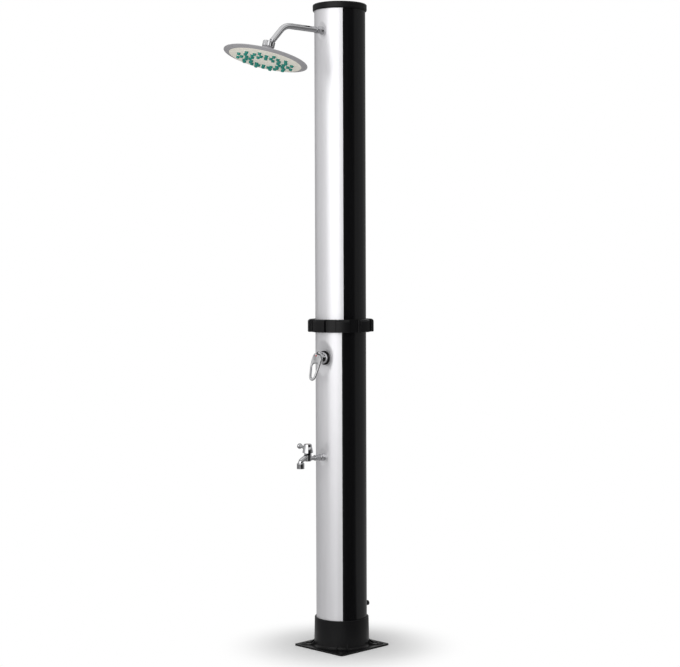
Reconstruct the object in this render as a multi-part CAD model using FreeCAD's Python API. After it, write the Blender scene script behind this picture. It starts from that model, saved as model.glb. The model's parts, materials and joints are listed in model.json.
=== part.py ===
import FreeCAD, Part
import math
import os

# Outdoor solar shower post, in millimetres.
# The post stands on the origin: +Z is up, and the arm, mixer and foot tap point to -Y.
# Two lengths of round pipe hold the water. A collar nut joins them, a square foot
# carries them, and everything else is screwed into their walls.

V = FreeCAD.Vector

# ---- Fits ----
glue_gap = 0.10          # between plastic pieces that are pushed or glued together
seat_gap = 0.30          # between faces that only rest near each other
thread_gap = 0.10        # between a male and a female thread
turn_gap = 0.05          # round a shaft or ball that turns in its seat
sweep_gap = 0.35         # between outer surfaces that pass over each other
hole_gap = 0.40          # round a fitting where it passes through the wall

# ---- Pipe and front panels ----
pipe_radius = 80.0
pipe_wall = 4.0
panel_thickness = 1.2
upper_panel_half_angle = 51.5
lower_panel_half_angle = 47.5
panel_tuck = 5.0         # how far a panel runs on under the foot, collar or cap
collar_bottom = 996.0    # height of the joint between the two lengths
cap_bottom = 2000.0      # height of the cap's lower edge

# ---- Foot ----
plate_margin = 19.8      # from the socket's foot to the plate's edge
plate_thickness = 5.0
plate_corner_radius = 8.0
plate_edge_radius = 1.2
socket_height = 94.0
socket_wall = 5.4        # at the socket's rim
socket_flare = 1.8       # how much wider the socket is at its foot
socket_rim_radius = 1.6
socket_root_radius = 8.0
gusset_height = 26.0
gusset_toe_room = 8.0    # from a gusset's toe to the plate's edge
gusset_knee_run = 15.0   # from a gusset's knee to its toe
gusset_knee_height = 7.5
gusset_hollow = 6.0      # how far the slope above the knee is hollowed
gusset_thickness = 4.0
gusset_spread = 17.0     # from the foot's diagonal to the middle of a gusset
anchor_margin = 21.0     # from a floor bolt to the plate's edges
anchor_hole_radius = 4.5
anchor_boss_radius = 10.5
anchor_boss_height = 2.4

# ---- End plugs and cap ----
plug_skirt = 30.0
plug_wall = 5.0
bottom_plug_height = 8.0   # from the plate to the plug's skirt
cap_wall = 4.8
cap_side = 21.0
cap_crown = 5.0
cap_edge_radius = 4.5
cap_edge_taper = 1.4
cap_overlap = 15.0         # how far the cap comes down over the pipe
top_flange = 3.0

# ---- Pipe joint ----
collar_height = 40.0
collar_wall = 14.0         # from the ring's thread to the tops of the lobes
collar_lobes = 8
collar_groove_depth = 9.0
collar_groove_angle = 22.0
collar_groove_round = 2.5
collar_turn = 3.5          # where the nut stops when it is tight
collar_top_radius = 8.0
collar_bottom_radius = 1.5
collar_lip = 12.0
collar_skirt = 2.0         # how far the nut hangs below the threaded ring
union_thread_step = 10.0   # from the pipe's outside to the ring's thread
union_wall = 7.0
union_tail = 22.0
union_flange = 9.0
seal_inset = 7.5           # from the ring's thread to the middle of the seal
seal_groove_width = 4.6
seal_groove_depth = 3.4

# ---- Wall fittings shared by the arm, the foot tap and the hose inlet ----
tail_radius = 10.2
tail_bore = 6.5
tail_length = 21.5         # from a pressed seat to a tail's inner end
gasket_thickness = 2.0
gasket_radius = 14.0
lock_nut_flats = 26.0
lock_nut_height = 6.0
flange_rim = 3.0           # thickness of a fitting's rim on its seat
wall_seat_depth = 2.5
wall_seat_radius = 15.0
wall_seat_rim = 27.0
wall_seat_round = 10.0
seat_root_round = 6.0      # softness of the bend round a seat's flat

# ---- Water pipes inside ----
water_pipe_radius = 7.5
water_pipe_wall = 1.5
hot_line = 5.0             # from the post's axis back to the hot pipe
hot_bend_radius = 16.0
hot_pipe_room = 10.0       # from the hot pipe's open end to the top plug
block_radius = 10.5
block_reach = 16.0
block_wall = 2.5
block_inset = 9.0          # from a tail's inner end to the middle of the upright pipes
pipe_insert = 8.0
coupler_radius = 10.0
coupler_length = 34.0

# ---- Mixer, its distances measured along its axis from its pressed seat ----
mixer_drop = 80.0          # below the collar nut
mixer_seat_depth = 10.0
mixer_seat_radius = 24.0
mixer_seat_rim = 54.0      # where the seat's cone meets the pipe
mixer_seat_round = 18.0    # softness of the bend at the seat's rim
mixer_neck_radius = 16.0
mixer_neck_length = 8.0
mixer_body_radius = 21.0
mixer_body_length = 34.0
mixer_ring_radius = 22.0
mixer_ring_depth = 5.3
mixer_ring_bevel = 1.0
mixer_pivot_rise = 12.0
mixer_cap_radius = 18.3
mixer_cap_wall = 2.0
mixer_cap_mouth = 9.6
cap_ledge_radius = 12.0
cartridge_radius = 13.4
cartridge_floor = 11.0     # from the mixer body's back to the cartridge
cartridge_rim = 2.0        # how far the cartridge stands out of the neck
spindle_radius = 9.0
spindle_back_reach = 20.0  # from the lever's pivot
spindle_front_reach = 6.0
stem_radius = 2.8
stem_eye_radius = 4.5
stem_length = 22.0
pivot_pin_radius = 1.5

# ---- Mixer lever, its distances measured from its pivot ----
hub_radius = 15.6
hub_front = 28.3
hub_edge_radius = 3.5
loop_rise = 23.5           # to the loop's middle plane
loop_lean = 19.0
loop_thickness = 6.4
loop_edge_radius = 1.4
loop_top_half_width = 14.0
loop_half_width = 18.0
loop_length = 71.0
slot_top = 19.5
slot_rim = 4.4             # width of the loop's side bars
slot_end = 12.0            # width of the loop's lower end
index_radius = 2.8
index_angle = 17.0
index_depth = 1.0
lever_screw_radius = 1.7
lever_screw_turn = 45.0
lever_screw_rise = 15.0
lever_screw_length = 7.0
lever_screw_start = 16.0   # to where the screw's axis meets the stem

# ---- Shower arm ----
arm_below_top = 82.0       # from the pipe's top to the arm
arm_tube_radius = 9.1
arm_tube_wall = 1.4
arm_flange_radius = 12.5
arm_flange_taper = 1.6
arm_flange_length = 10.5
arm_nut_flats = 21.6
arm_nut_height = 19.0
arm_reach = 129.0          # from the arm's nut to the bend's corner
arm_bend_radius = 55.0
arm_drop_angle = 45.0
arm_drop_length = 96.0     # from the bend's corner to the middle of the ball
arm_end_gap = 22.0         # from the tube's end to the middle of the ball
arm_end_chamfer = 1.0

# ---- Ball joint and shower head, heights measured from the middle of the ball ----
ball_radius = 14.0
ball_stem_radius = 5.2
ball_bore_radius = 3.0
ball_plug_length = 16.0
head_tilt = 14.4           # face turned forward from straight down
head_turn = -14.0          # tilt direction turned about the vertical
face_drop = 45.0           # down to the face
face_radius = 111.4
face_thickness = 3.0
rim_width = 17.5
rim_rise = 5.0
rim_edge = 2.4
shell_wall = 2.6
shell_dome = 26.0          # height of the back at the neck, above the face
shell_flare = 7.0          # how far the back runs on round the neck
face_ledge = 4.0
neck_room = 0.4            # between the ball and the neck's bore
neck_bore_wall = 2.1
neck_below_ball = 1.0
neck_water_radius = 5.0
washer_floor = 1.5         # from the ball's underside to the floor under its washer
washer_below_ball = 5.0
nut_wall = 2.35
nut_skirt = 4.0            # how far the nut reaches below the middle of the ball
nut_top_inset = 1.0        # how much lower the nut's top is than the ball's top
nut_lip = 3.05
nut_mouth_angle = 59.0
nut_flutes = 14
nut_flute_radius = 2.4
nut_flute_depth = 0.9
swivel_ring_wall = 1.05
swivel_ring_top_angle = 61.0
swivel_ring_low_angle = 75.0
nozzle_clusters = 16
nozzle_ring_radius = 72.0
nozzle_cluster_radius = 9.5
nozzle_root_radius = 5.2
nozzle_tip_radius = 4.5
nozzle_length = 5.5
nozzle_mat_thickness = 2.0
nozzle_mat_margin = 5.0    # from a nozzle to the mat's edge

# ---- Foot tap ----
tap_drop = 310.0           # below the mixer
tap_flange_radius = 11.4
tap_flange_taper = 1.0
tap_flange_length = 17.0
tap_flange_flats = 20.4
tap_nut_flats = 17.0
tap_nut_height = 23.5
tap_neck_radius = 6.4
tap_neck_length = 28.0     # from the nut end to the barrel's axis
tap_barrel_radius = 11.5
tap_barrel_below = 8.0     # below the inlet's axis
tap_barrel_above = 13.0
tap_seat_depth = 8.0       # from the barrel's top to the fixed disc
tap_chamber_drop = 5.1     # from the inlet's axis down to the chamber's floor
tap_inlet_bore = 4.4
tap_chamber_radius = 5.0
tap_chamber_wall = 2.2
spout_length = 31.0        # from the barrel's axis to the spout's
spout_radius = 7.8
spout_bend_radius = 8.0
spout_rise = 10.5          # spout's middle above the inlet's, in the barrel
spout_fall = 16.3          # from there down to the bend's corner
spout_bore = 5.0
outlet_drop = 28.5         # from the inlet's axis down to the outlet's rim
outlet_height = 17.9
outlet_radius = 11.7
outlet_edge_radius = 2.6
outlet_wall = 2.4
aerator_depth = 6.0
aerator_ways = 6
aerator_way_radius = 1.6
bonnet_flats = 20.0
bonnet_hex_height = 4.5
bonnet_radius = 9.2
bonnet_height = 22.0
bonnet_thread_step = 1.0   # how much thinner the bonnet is in the barrel
tap_spindle_radius = 4.0
tap_spindle_rise = 6.5     # above the bonnet
spindle_flat_rise = 1.5
disc_radius = 7.0
disc_thickness = 2.0
disc_way_radius = 2.2
disc_way_offset = 3.4
spindle_foot_radius = 5.6
spindle_foot_height = 1.0
hood_gap = 1.1             # between the bonnet's hexagon and the handle
hood_crown = 4.5           # handle's top above the spindle's top
hood_bottom_radius = 16.4
hood_waist_radius = 13.0
hood_top_radius = 12.2
hood_wall = 2.4
hood_edge_radius = 2.2
handle_arm_lift = 14.9     # from the handle's lower edge to its arm
handle_arm_reach = 34.0
handle_arm_rise = 7.5
handle_arm_radius = 4.8
knob_neck_radius = 5.8
knob_radius = 8.7
knob_length = 11.5
tap_index_radius = 4.4
tap_index_depth = 1.2

# ---- Hose inlet ----
inlet_rise = 24.0          # above the foot's socket
inlet_hex_flats = 24.0
inlet_hex_height = 9.0
inlet_outer_room = 3.0     # for the gasket between the wall and the hexagon
inlet_inner_room = 3.0     # for the gasket between the wall and the lock nut
inlet_nipple_radius = 8.0
inlet_nipple_length = 28.0
inlet_nipple_bore = 5.0
inlet_shoulder = 3.0       # height and reach of the step before the nipple
inlet_shoulder_slope = 2.0
inlet_nipple_bevel = 1.5
inlet_groove_depth = 1.2
inlet_groove_width = 3.0
inlet_groove_end = 6.0     # from the groove's outer edge to the nipple's end
valve_radius = 5.6
valve_length = 14.0
valve_ways = 4

# ---- Sizes worked out from the ones above ----
pipe_bore = pipe_radius - pipe_wall
socket_top_radius = pipe_radius + socket_wall
socket_foot_radius = socket_top_radius + socket_flare
plate_side = 2 * (socket_foot_radius + plate_margin)
gusset_reach = plate_side / math.sqrt(2) - gusset_spread - gusset_toe_room
gusset_knee_reach = gusset_reach - gusset_knee_run
anchor_spacing = plate_side - 2 * anchor_margin
cap_radius = pipe_radius + cap_wall
pipe_top = cap_bottom + cap_overlap
collar_top = collar_bottom + collar_height
ring_bottom = collar_bottom + collar_skirt
lip_bottom = collar_top - collar_lip
flange_bottom = lip_bottom - union_flange
ring_top = flange_bottom - seat_gap
union_thread_radius = pipe_radius + union_thread_step
collar_radius = union_thread_radius + collar_wall
collar_groove_radius = collar_radius - collar_groove_depth
union_bore = pipe_bore - union_wall
seal_radius = union_thread_radius - seal_inset
wall_seat = pipe_radius - wall_seat_depth
tail_inner_end = wall_seat - tail_length
hole_radius = tail_radius + hole_gap
inner_seat = wall_seat - pipe_wall
water_line = tail_inner_end - block_inset
hot_pipe_top = pipe_top - plug_skirt - hot_pipe_room
mixer_height = collar_bottom - mixer_drop
mixer_seat = pipe_radius - mixer_seat_depth
mixer_shoulder = mixer_seat - pipe_wall - gasket_thickness
mixer_body_back = mixer_shoulder - mixer_body_length
mixer_ring_front = mixer_seat + mixer_ring_depth
mixer_neck_front = mixer_seat + mixer_neck_length
mixer_pivot = mixer_seat + mixer_pivot_rise
cartridge_back = mixer_body_back + cartridge_floor
spindle_back = mixer_pivot - spindle_back_reach
spindle_front = mixer_pivot + spindle_front_reach
stem_front = mixer_pivot + stem_length
loop_start = mixer_pivot + loop_rise
slot_half_width = loop_half_width - slot_rim
slot_bottom = loop_length - slot_end
arm_height = pipe_top - arm_below_top
arm_flange_front = wall_seat + arm_flange_length
arm_nut_front = arm_flange_front + arm_nut_height
arm_bend_reach = arm_nut_front + arm_reach
arm_drop = math.radians(arm_drop_angle)
rim_radius = face_radius + rim_width
neck_radius = ball_radius + neck_room + neck_bore_wall
neck_top = -neck_below_ball
neck_floor = -ball_radius - washer_floor
seat_washer_top = -washer_below_ball
nut_radius = neck_radius + nut_wall
nut_bottom = -nut_skirt
nut_top = ball_radius - nut_top_inset
nut_mouth_radius = nut_radius - nut_lip
nozzle_mat_reach = nozzle_cluster_radius + nozzle_root_radius + nozzle_mat_margin
tap_height = mixer_height - tap_drop
tap_flange_front = wall_seat + tap_flange_length
tap_nut_front = tap_flange_front + tap_nut_height
tap_reach = tap_nut_front + tap_neck_length
spout_reach = tap_reach + spout_length
tap_barrel_bottom = tap_height - tap_barrel_below
tap_barrel_top = tap_height + tap_barrel_above
tap_seat_level = tap_barrel_top - tap_seat_depth
disc_meeting = tap_seat_level + disc_thickness
tap_chamber_floor = tap_height - tap_chamber_drop
outlet_bottom = tap_height - outlet_drop
outlet_top = outlet_bottom + outlet_height
bonnet_top = tap_barrel_top + bonnet_height
tap_spindle_top = bonnet_top + tap_spindle_rise
hood_bottom = tap_barrel_top + bonnet_hex_height + hood_gap
hood_top = tap_spindle_top + hood_crown
handle_arm_height = hood_bottom + handle_arm_lift
inlet_height = socket_height + inlet_rise
inlet_seat = pipe_radius + inlet_outer_room
inlet_inner_seat = pipe_bore - inlet_inner_room
inlet_hex_front = inlet_seat + inlet_hex_height
inlet_nipple_end = inlet_hex_front + inlet_nipple_length
ball_centre = V(
    0,
    -arm_bend_reach - arm_drop_length * math.cos(arm_drop),
    arm_height - arm_drop_length * math.sin(arm_drop),
)


# ---- Shapes used by several pieces ----
def rod(radius, start, end, x=0.0, y=0.0):
    """Upright cylinder between two heights."""
    return Part.makeCylinder(radius, end - start, V(x, y, start))


def ring(outer, inner, start, end):
    """Upright tube between two heights."""
    return rod(outer, start, end).cut(rod(inner, start, end))


def hexagon(flats, start, end):
    """Upright hexagonal bar with a flat at the top when it lies on its side."""
    corner = flats / math.sqrt(3)
    points = [V(corner * math.cos(math.radians(60 * i)), corner * math.sin(math.radians(60 * i)), start)
              for i in range(7)]
    return Part.Face(Part.makePolygon(points)).extrude(V(0, 0, end - start))


def chain(*steps):
    """Edges through radius and height pairs; a step of two pairs is an arc through its first."""
    edges = []
    here = steps[0]
    for step in steps[1:]:
        if isinstance(step[0], tuple):
            middle, end = step
            arc = Part.Arc(V(here[0], 0, here[1]), V(middle[0], 0, middle[1]), V(end[0], 0, end[1]))
            edges.append(arc.toShape())
        else:
            end = step
            edges.append(Part.makeLine(V(here[0], 0, here[1]), V(end[0], 0, end[1])))
        here = end
    return edges


def turned(*steps):
    """Solid turned about the upright axis from a closed outline."""
    last = steps[-1][1] if isinstance(steps[-1][0], tuple) else steps[-1]
    closing = () if last == steps[0] else (steps[0],)
    outline = Part.Wire(chain(*steps, *closing))
    return Part.Face(outline).revolve(V(0, 0, 0), V(0, 0, 1), 360)


def on_circle(radius, centre, angle):
    """Radius and height of a point on a circle about the axis, by its angle from the axis."""
    turn = math.radians(angle)
    return (radius * math.sin(turn), centre + radius * math.cos(turn))


def dome(edge, start, rise):
    """Arc step for a round dome from its edge up to its top on the axis."""
    radius = (edge ** 2 + rise ** 2) / (2 * rise)
    half = math.degrees(math.asin(edge / radius)) / 2
    return (on_circle(radius, start + rise - radius, half), (0, start + rise))


def sphere_height(radius, lateral):
    """Height above its centre of a sphere's point at a distance from the axis."""
    return math.sqrt(radius ** 2 - lateral ** 2)


def to_front(shape, height):
    """Lay an upright fitting down so that its top points to the front."""
    shape = shape.copy()
    shape.rotate(V(0, 0, 0), V(1, 0, 0), 90)
    shape.translate(V(0, 0, height))
    return shape


def to_rear(shape, height):
    """Lay an upright fitting down so that its top points to the rear."""
    shape = shape.copy()
    shape.rotate(V(0, 0, 0), V(1, 0, 0), -90)
    shape.translate(V(0, 0, height))
    return shape


def bent_bar(points, bend_radius, radius):
    """Round bar along two straight runs joined by a round bend at the middle point."""
    start, corner, end = points
    first = (start - corner).normalize()
    last = (end - corner).normalize()
    turn = math.pi - first.getAngle(last)
    reach = bend_radius * math.tan(turn / 2)
    bend_start = corner + first * reach
    bend_end = corner + last * reach
    centre = corner + (first + last).normalize() * (bend_radius / math.cos(turn / 2))
    axis = (bend_start - centre).cross(bend_end - centre)
    disc = Part.Face(Part.Wire([Part.makeCircle(radius, bend_start, first)]))
    bend = disc.revolve(centre, axis, math.degrees(turn))
    run_in = Part.makeCylinder(radius, (bend_start - start).Length, start, first * -1)
    run_out = Part.makeCylinder(radius, (end - bend_end).Length, bend_end, last)
    return run_in.fuse([bend, run_out]).removeSplitter()


# ---- Pipe walls with pressed seats ----
def seat_space(seat, depth):
    """Cone of space in front of a pressed seat, moved inwards with the wall's depth."""
    height, distance, flat, rim, soft = seat
    floor = distance - depth
    edge = pipe_radius - depth
    space = turned((0, floor), (flat, floor), (rim, edge), (rim, edge + rim), (0, edge + rim))
    return to_front(space, height)


def seat_edges(form, seat, floor):
    """Edges round a pressed seat's flat, and those where its cone meets the pipe."""
    height, distance, flat, rim, soft = seat
    near = [edge for edge in form.Edges
            if edge.BoundBox.YMax < 0
            and edge.BoundBox.ZMin > height - rim - soft
            and edge.BoundBox.ZMax < height + rim + soft]
    roots = [edge for edge in near if abs(edge.BoundBox.YMin + floor) < 0.05
             and abs(edge.BoundBox.YMax + floor) < 0.05]
    rims = [edge for edge in near if edge.BoundBox.YMin < -floor - 0.1 and edge.BoundBox.ZLength > 1]
    return roots, rims


def pipe_form(depth, bottom, top, seats):
    """Solid inside the pipe's surface, or inside a surface parallel to it, with softened seats."""
    form = rod(pipe_radius - depth, bottom, top)
    for seat in seats:
        height, distance, flat, rim, soft = seat
        floor = distance - depth
        form = form.cut(seat_space(seat, depth))
        form = form.makeFillet(soft - depth, seat_edges(form, seat, floor)[1])
        form = form.makeFillet(seat_root_round + depth, seat_edges(form, seat, floor)[0])
    return form


def front_wedge(half_angle, bottom, top):
    """Wedge of space from the post's axis out to the front."""
    turn = math.radians(half_angle)
    reach = 2 * pipe_radius / math.cos(turn)
    corner = V(reach * math.sin(turn), -reach * math.cos(turn), bottom)
    other = V(-corner.x, corner.y, bottom)
    outline = Part.makePolygon([V(0, 0, bottom), corner, other, V(0, 0, bottom)])
    return Part.Face(outline).extrude(V(0, 0, top - bottom))


def wall_hole(radius, height):
    """Round hole through the front wall."""
    return to_front(rod(radius, union_bore / 2, pipe_radius + 1), height)


def pipe_and_panel(bottom, top, panel_bottom, panel_top, half_angle, seats, holes):
    """One length of pipe and the panel that lies flush in its front."""
    shell = pipe_form(0, bottom, top, seats).cut(pipe_form(pipe_wall, bottom, top, seats))
    skin = pipe_form(0, panel_bottom, panel_top, seats)
    recess = skin.cut(pipe_form(panel_thickness + glue_gap, panel_bottom, panel_top, seats))
    recess = recess.common(front_wedge(half_angle, panel_bottom, panel_top))
    edge = math.degrees(glue_gap / pipe_radius)
    low = panel_bottom + glue_gap
    high = panel_top - glue_gap
    panel = pipe_form(0, low, high, seats).cut(pipe_form(panel_thickness, low, high, seats))
    panel = panel.common(front_wedge(half_angle - edge, low, high))
    shell = shell.cut(recess)
    for hole in holes:
        shell = shell.cut(hole)
        panel = panel.cut(hole)
    return shell, panel


mixer_seat_place = (mixer_height, mixer_seat, mixer_seat_radius, mixer_seat_rim, mixer_seat_round)
tap_seat_place = (tap_height, wall_seat, wall_seat_radius, wall_seat_rim, wall_seat_round)
arm_seat_place = (arm_height, wall_seat, wall_seat_radius, wall_seat_rim, wall_seat_round)


def lower_pipe():
    """Lower length of pipe with its panel, seats for tap and mixer, and hose hole."""
    holes = [
        wall_hole(mixer_neck_radius + hole_gap, mixer_height),
        wall_hole(hole_radius, tap_height),
        to_rear(rod(hole_radius, union_bore / 2, pipe_radius + 1), inlet_height),
    ]
    return pipe_and_panel(
        plate_thickness, ring_bottom, socket_height - panel_tuck, ring_bottom,
        lower_panel_half_angle, [mixer_seat_place, tap_seat_place], holes)


def upper_pipe():
    """Upper length of pipe with its panel and the arm's seat."""
    return pipe_and_panel(
        lip_bottom, pipe_top, collar_top - panel_tuck, cap_bottom + panel_tuck,
        upper_panel_half_angle, [arm_seat_place], [wall_hole(hole_radius, arm_height)])


# ---- Foot, plugs and cap ----
def foot():
    """Square foot with a deep round socket and two gussets to each corner."""
    half = plate_side / 2
    plate = Part.makeBox(plate_side, plate_side, plate_thickness, V(-half, -half, 0))
    corners = [edge for edge in plate.Edges if abs(edge.tangentAt(0).z) > 0.9]
    plate = plate.makeFillet(plate_corner_radius, corners)
    rim = [edge for edge in plate.Edges if edge.BoundBox.ZMin > plate_thickness - 0.01]
    plate = plate.makeFillet(plate_edge_radius, rim)
    root = socket_root_radius
    slope = 1 - math.sqrt(0.5)
    rim_bend = socket_rim_radius
    socket = turned(
        (pipe_radius + glue_gap, plate_thickness / 2),
        (pipe_radius + glue_gap, socket_height - rim_bend / 2),
        (pipe_radius + glue_gap + rim_bend / 2, socket_height),
        (socket_top_radius - rim_bend, socket_height),
        ((socket_top_radius - rim_bend * slope, socket_height - rim_bend * slope),
         (socket_top_radius, socket_height - rim_bend)),
        (socket_foot_radius, plate_thickness + root),
        ((socket_foot_radius + root * slope, plate_thickness + root * slope),
         (socket_foot_radius + root, plate_thickness)),
        (socket_foot_radius + root, plate_thickness / 2),
    )
    body = plate.fuse(socket)
    start = (pipe_radius + socket_foot_radius) / 2
    dip = ((start + gusset_knee_reach - gusset_hollow) / 2,
           (gusset_height + gusset_knee_height) / 2 - gusset_hollow)
    outline = Part.Wire(chain(
        (start, plate_thickness / 2),
        (start, gusset_height),
        (dip, (gusset_knee_reach, gusset_knee_height)),
        (gusset_reach, plate_thickness),
        (gusset_reach, plate_thickness / 2),
        (start, plate_thickness / 2),
    ))
    blade = Part.Face(outline).extrude(V(0, gusset_thickness, 0))
    blade.translate(V(0, -gusset_thickness / 2, 0))
    anchor_reach = anchor_spacing / math.sqrt(2)
    boss_top = plate_thickness + anchor_boss_height
    boss = Part.makeCone(anchor_boss_radius, anchor_boss_radius - 1.0, anchor_boss_height + 1.0,
                         V(anchor_reach, 0, plate_thickness - 1.0))
    pieces = []
    holes = []
    for quarter in range(4):
        angle = 45 + 90 * quarter
        for side in (-1, 1):
            gusset = blade.copy()
            gusset.translate(V(0, side * gusset_spread, 0))
            gusset.rotate(V(0, 0, 0), V(0, 0, 1), angle)
            pieces.append(gusset)
        corner_boss = boss.copy()
        corner_boss.rotate(V(0, 0, 0), V(0, 0, 1), angle)
        pieces.append(corner_boss)
        hole = rod(anchor_hole_radius, -1, boss_top + 1, anchor_reach)
        hole.rotate(V(0, 0, 0), V(0, 0, 1), angle)
        holes.append(hole)
    body = body.fuse(pieces).removeSplitter()
    bore = rod(pipe_radius + glue_gap, plate_thickness, gusset_height + 1)
    return body.cut(holes + [bore])


def plug(skirt_bottom, face_up):
    """Cup that closes the pipe's end; its face looks up or down into the water."""
    outer = pipe_bore - glue_gap
    top = skirt_bottom + plug_skirt
    cup = rod(outer, skirt_bottom, top)
    if face_up:
        return cup.cut(rod(outer - plug_wall, skirt_bottom - 1, top - plug_wall))
    return cup.cut(rod(outer - plug_wall, skirt_bottom + plug_wall, top + 1))


def top_plug():
    """Plug in the pipe's top, with a flange that rests on the pipe."""
    flange = ring(pipe_radius, pipe_bore - glue_gap - plug_wall, pipe_top, pipe_top + top_flange)
    return plug(pipe_top - plug_skirt, False).fuse(flange).removeSplitter()


def top_cap():
    """Low domed cover over the pipe's top."""
    side_top = cap_bottom + cap_side
    ceiling = pipe_top + top_flange
    bend = cap_edge_radius
    edge = cap_radius - bend
    shoulder = math.sqrt(0.5) * bend
    return turned(
        (0, ceiling),
        (pipe_radius + glue_gap, ceiling),
        (pipe_radius + glue_gap, cap_bottom),
        (cap_radius - cap_edge_taper, cap_bottom),
        (cap_radius, cap_bottom + 2 * cap_edge_taper),
        (cap_radius, side_top - bend),
        ((edge + shoulder, side_top - bend + shoulder), (edge, side_top)),
        dome(edge, side_top, cap_crown),
    )


# ---- Pipe joint ----
def lower_union_ring():
    """Threaded ring in the top of the lower pipe, with the seal's groove."""
    body = turned(
        (union_bore, ring_bottom - union_tail),
        (pipe_bore - glue_gap, ring_bottom - union_tail),
        (pipe_bore - glue_gap, ring_bottom),
        (union_thread_radius, ring_bottom),
        (union_thread_radius, ring_top),
        (union_bore, ring_top),
    )
    half = seal_groove_width / 2
    groove = ring(seal_radius + half, seal_radius - half, ring_top - seal_groove_depth, ring_top + 1)
    return body.cut(groove)


def upper_union_ring():
    """Flanged ring in the foot of the upper pipe."""
    return turned(
        (union_bore, flange_bottom),
        (union_thread_radius - 1.0, flange_bottom),
        (union_thread_radius - 1.0, lip_bottom),
        (pipe_bore - glue_gap, lip_bottom),
        (pipe_bore - glue_gap, lip_bottom + union_tail),
        (union_bore, lip_bottom + union_tail),
    )


def union_seal():
    """Round rubber ring squeezed in its groove."""
    section = (seal_groove_depth + seat_gap) / 2
    return Part.makeTorus(seal_radius, section, V(0, 0, ring_top - seal_groove_depth + section))


def collar_nut():
    """Hand nut with rounded lobes that clamps the two rings together."""
    bend = collar_top_radius
    slope = 1 - math.sqrt(0.5)
    body = turned(
        (union_thread_radius + thread_gap, collar_bottom),
        (collar_radius - collar_bottom_radius, collar_bottom),
        (collar_radius, collar_bottom + collar_bottom_radius),
        (collar_radius, collar_top - bend),
        ((collar_radius - bend * slope, collar_top - bend * slope), (collar_radius - bend, collar_top)),
        (pipe_radius + 2 * seat_gap, collar_top),
        (pipe_radius + 2 * seat_gap, lip_bottom),
        (union_thread_radius + thread_gap, lip_bottom),
    )
    pitch = 360.0 / collar_lobes
    half_lobe = (pitch - collar_groove_angle) / 2
    outer = collar_radius + 1
    edges = []
    for lobe in range(collar_lobes):
        middle = -90 + collar_turn + pitch * lobe

        def at(radius, offset, middle=middle):
            turn = math.radians(middle + offset)
            return V(radius * math.cos(turn), radius * math.sin(turn), collar_bottom)

        edges.append(Part.Arc(at(outer, -half_lobe), at(outer, 0), at(outer, half_lobe)).toShape())
        edges.append(Part.makeLine(at(outer, half_lobe), at(collar_groove_radius, half_lobe + 1)))
        edges.append(Part.Arc(at(collar_groove_radius, half_lobe + 1), at(collar_groove_radius, pitch / 2),
                              at(collar_groove_radius, pitch - half_lobe - 1)).toShape())
        edges.append(Part.makeLine(at(collar_groove_radius, pitch - half_lobe - 1),
                                   at(outer, pitch - half_lobe)))
    star = Part.Face(Part.Wire(edges)).extrude(V(0, 0, collar_height))
    upright = [edge for edge in star.Edges if abs(edge.tangentAt(edge.FirstParameter).z) > 0.9]
    star = star.makeFillet(collar_groove_round, upright)
    return body.common(star)


# ---- Wall fittings ----
def wall_gaskets():
    """Flat rubber rings behind the pressed seats of the arm and the tap."""
    flat = ring(gasket_radius, tail_radius + glue_gap, inner_seat - gasket_thickness, inner_seat)
    return Part.makeCompound([to_front(flat, arm_height), to_front(flat, tap_height)])


def lock_nut(seat):
    """Hexagonal nut on a fitting's tail inside the pipe."""
    low = seat - gasket_thickness - lock_nut_height
    return hexagon(lock_nut_flats, low, low + lock_nut_height).cut(
        rod(tail_radius + thread_gap, low, low + lock_nut_height))


def wall_lock_nuts():
    """Lock nuts of the arm, the tap and the hose inlet."""
    return Part.makeCompound([
        to_front(lock_nut(inner_seat), arm_height),
        to_front(lock_nut(inner_seat), tap_height),
        to_rear(lock_nut(inlet_inner_seat), inlet_height),
    ])


def wall_flange(radius, front, front_radius):
    """Flanged fitting with a threaded tail through the wall."""
    body = turned(
        (tail_bore, tail_inner_end),
        (tail_radius, tail_inner_end),
        (tail_radius, wall_seat),
        (radius, wall_seat),
        (radius, wall_seat + flange_rim),
        (front_radius, front),
        (tail_bore, front),
    )
    return body


# ---- Water pipes inside ----
def water_pipe(start, end, forward):
    """Upright plastic water pipe."""
    tube = ring(water_pipe_radius, water_pipe_radius - water_pipe_wall, start, end)
    tube.translate(V(0, -forward, 0))
    return tube


def pipe_block(height, upward, downward):
    """Brass elbow or tee that joins upright pipes to a fitting's tail."""
    low = height - block_reach
    high = height + block_reach
    body = rod(block_radius, low, high, 0, -water_line)
    branch = to_front(rod(tail_radius + block_wall, water_line, tail_inner_end + pipe_insert), height)
    body = body.fuse(branch).removeSplitter()
    body = body.cut(to_front(rod(tail_radius + thread_gap, tail_inner_end - glue_gap,
                                 tail_inner_end + pipe_insert + 1), height))
    body = body.cut(to_front(rod(tail_bore, water_line, tail_inner_end), height))
    socket = water_pipe_radius + glue_gap
    if upward:
        body = body.cut(rod(tail_bore, height, high + 1, 0, -water_line))
        body = body.cut(rod(socket, high - pipe_insert, high + 1, 0, -water_line))
    if downward:
        body = body.cut(rod(tail_bore, low - 1, height, 0, -water_line))
        body = body.cut(rod(socket, low - 1, low + pipe_insert, 0, -water_line))
    return body


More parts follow.
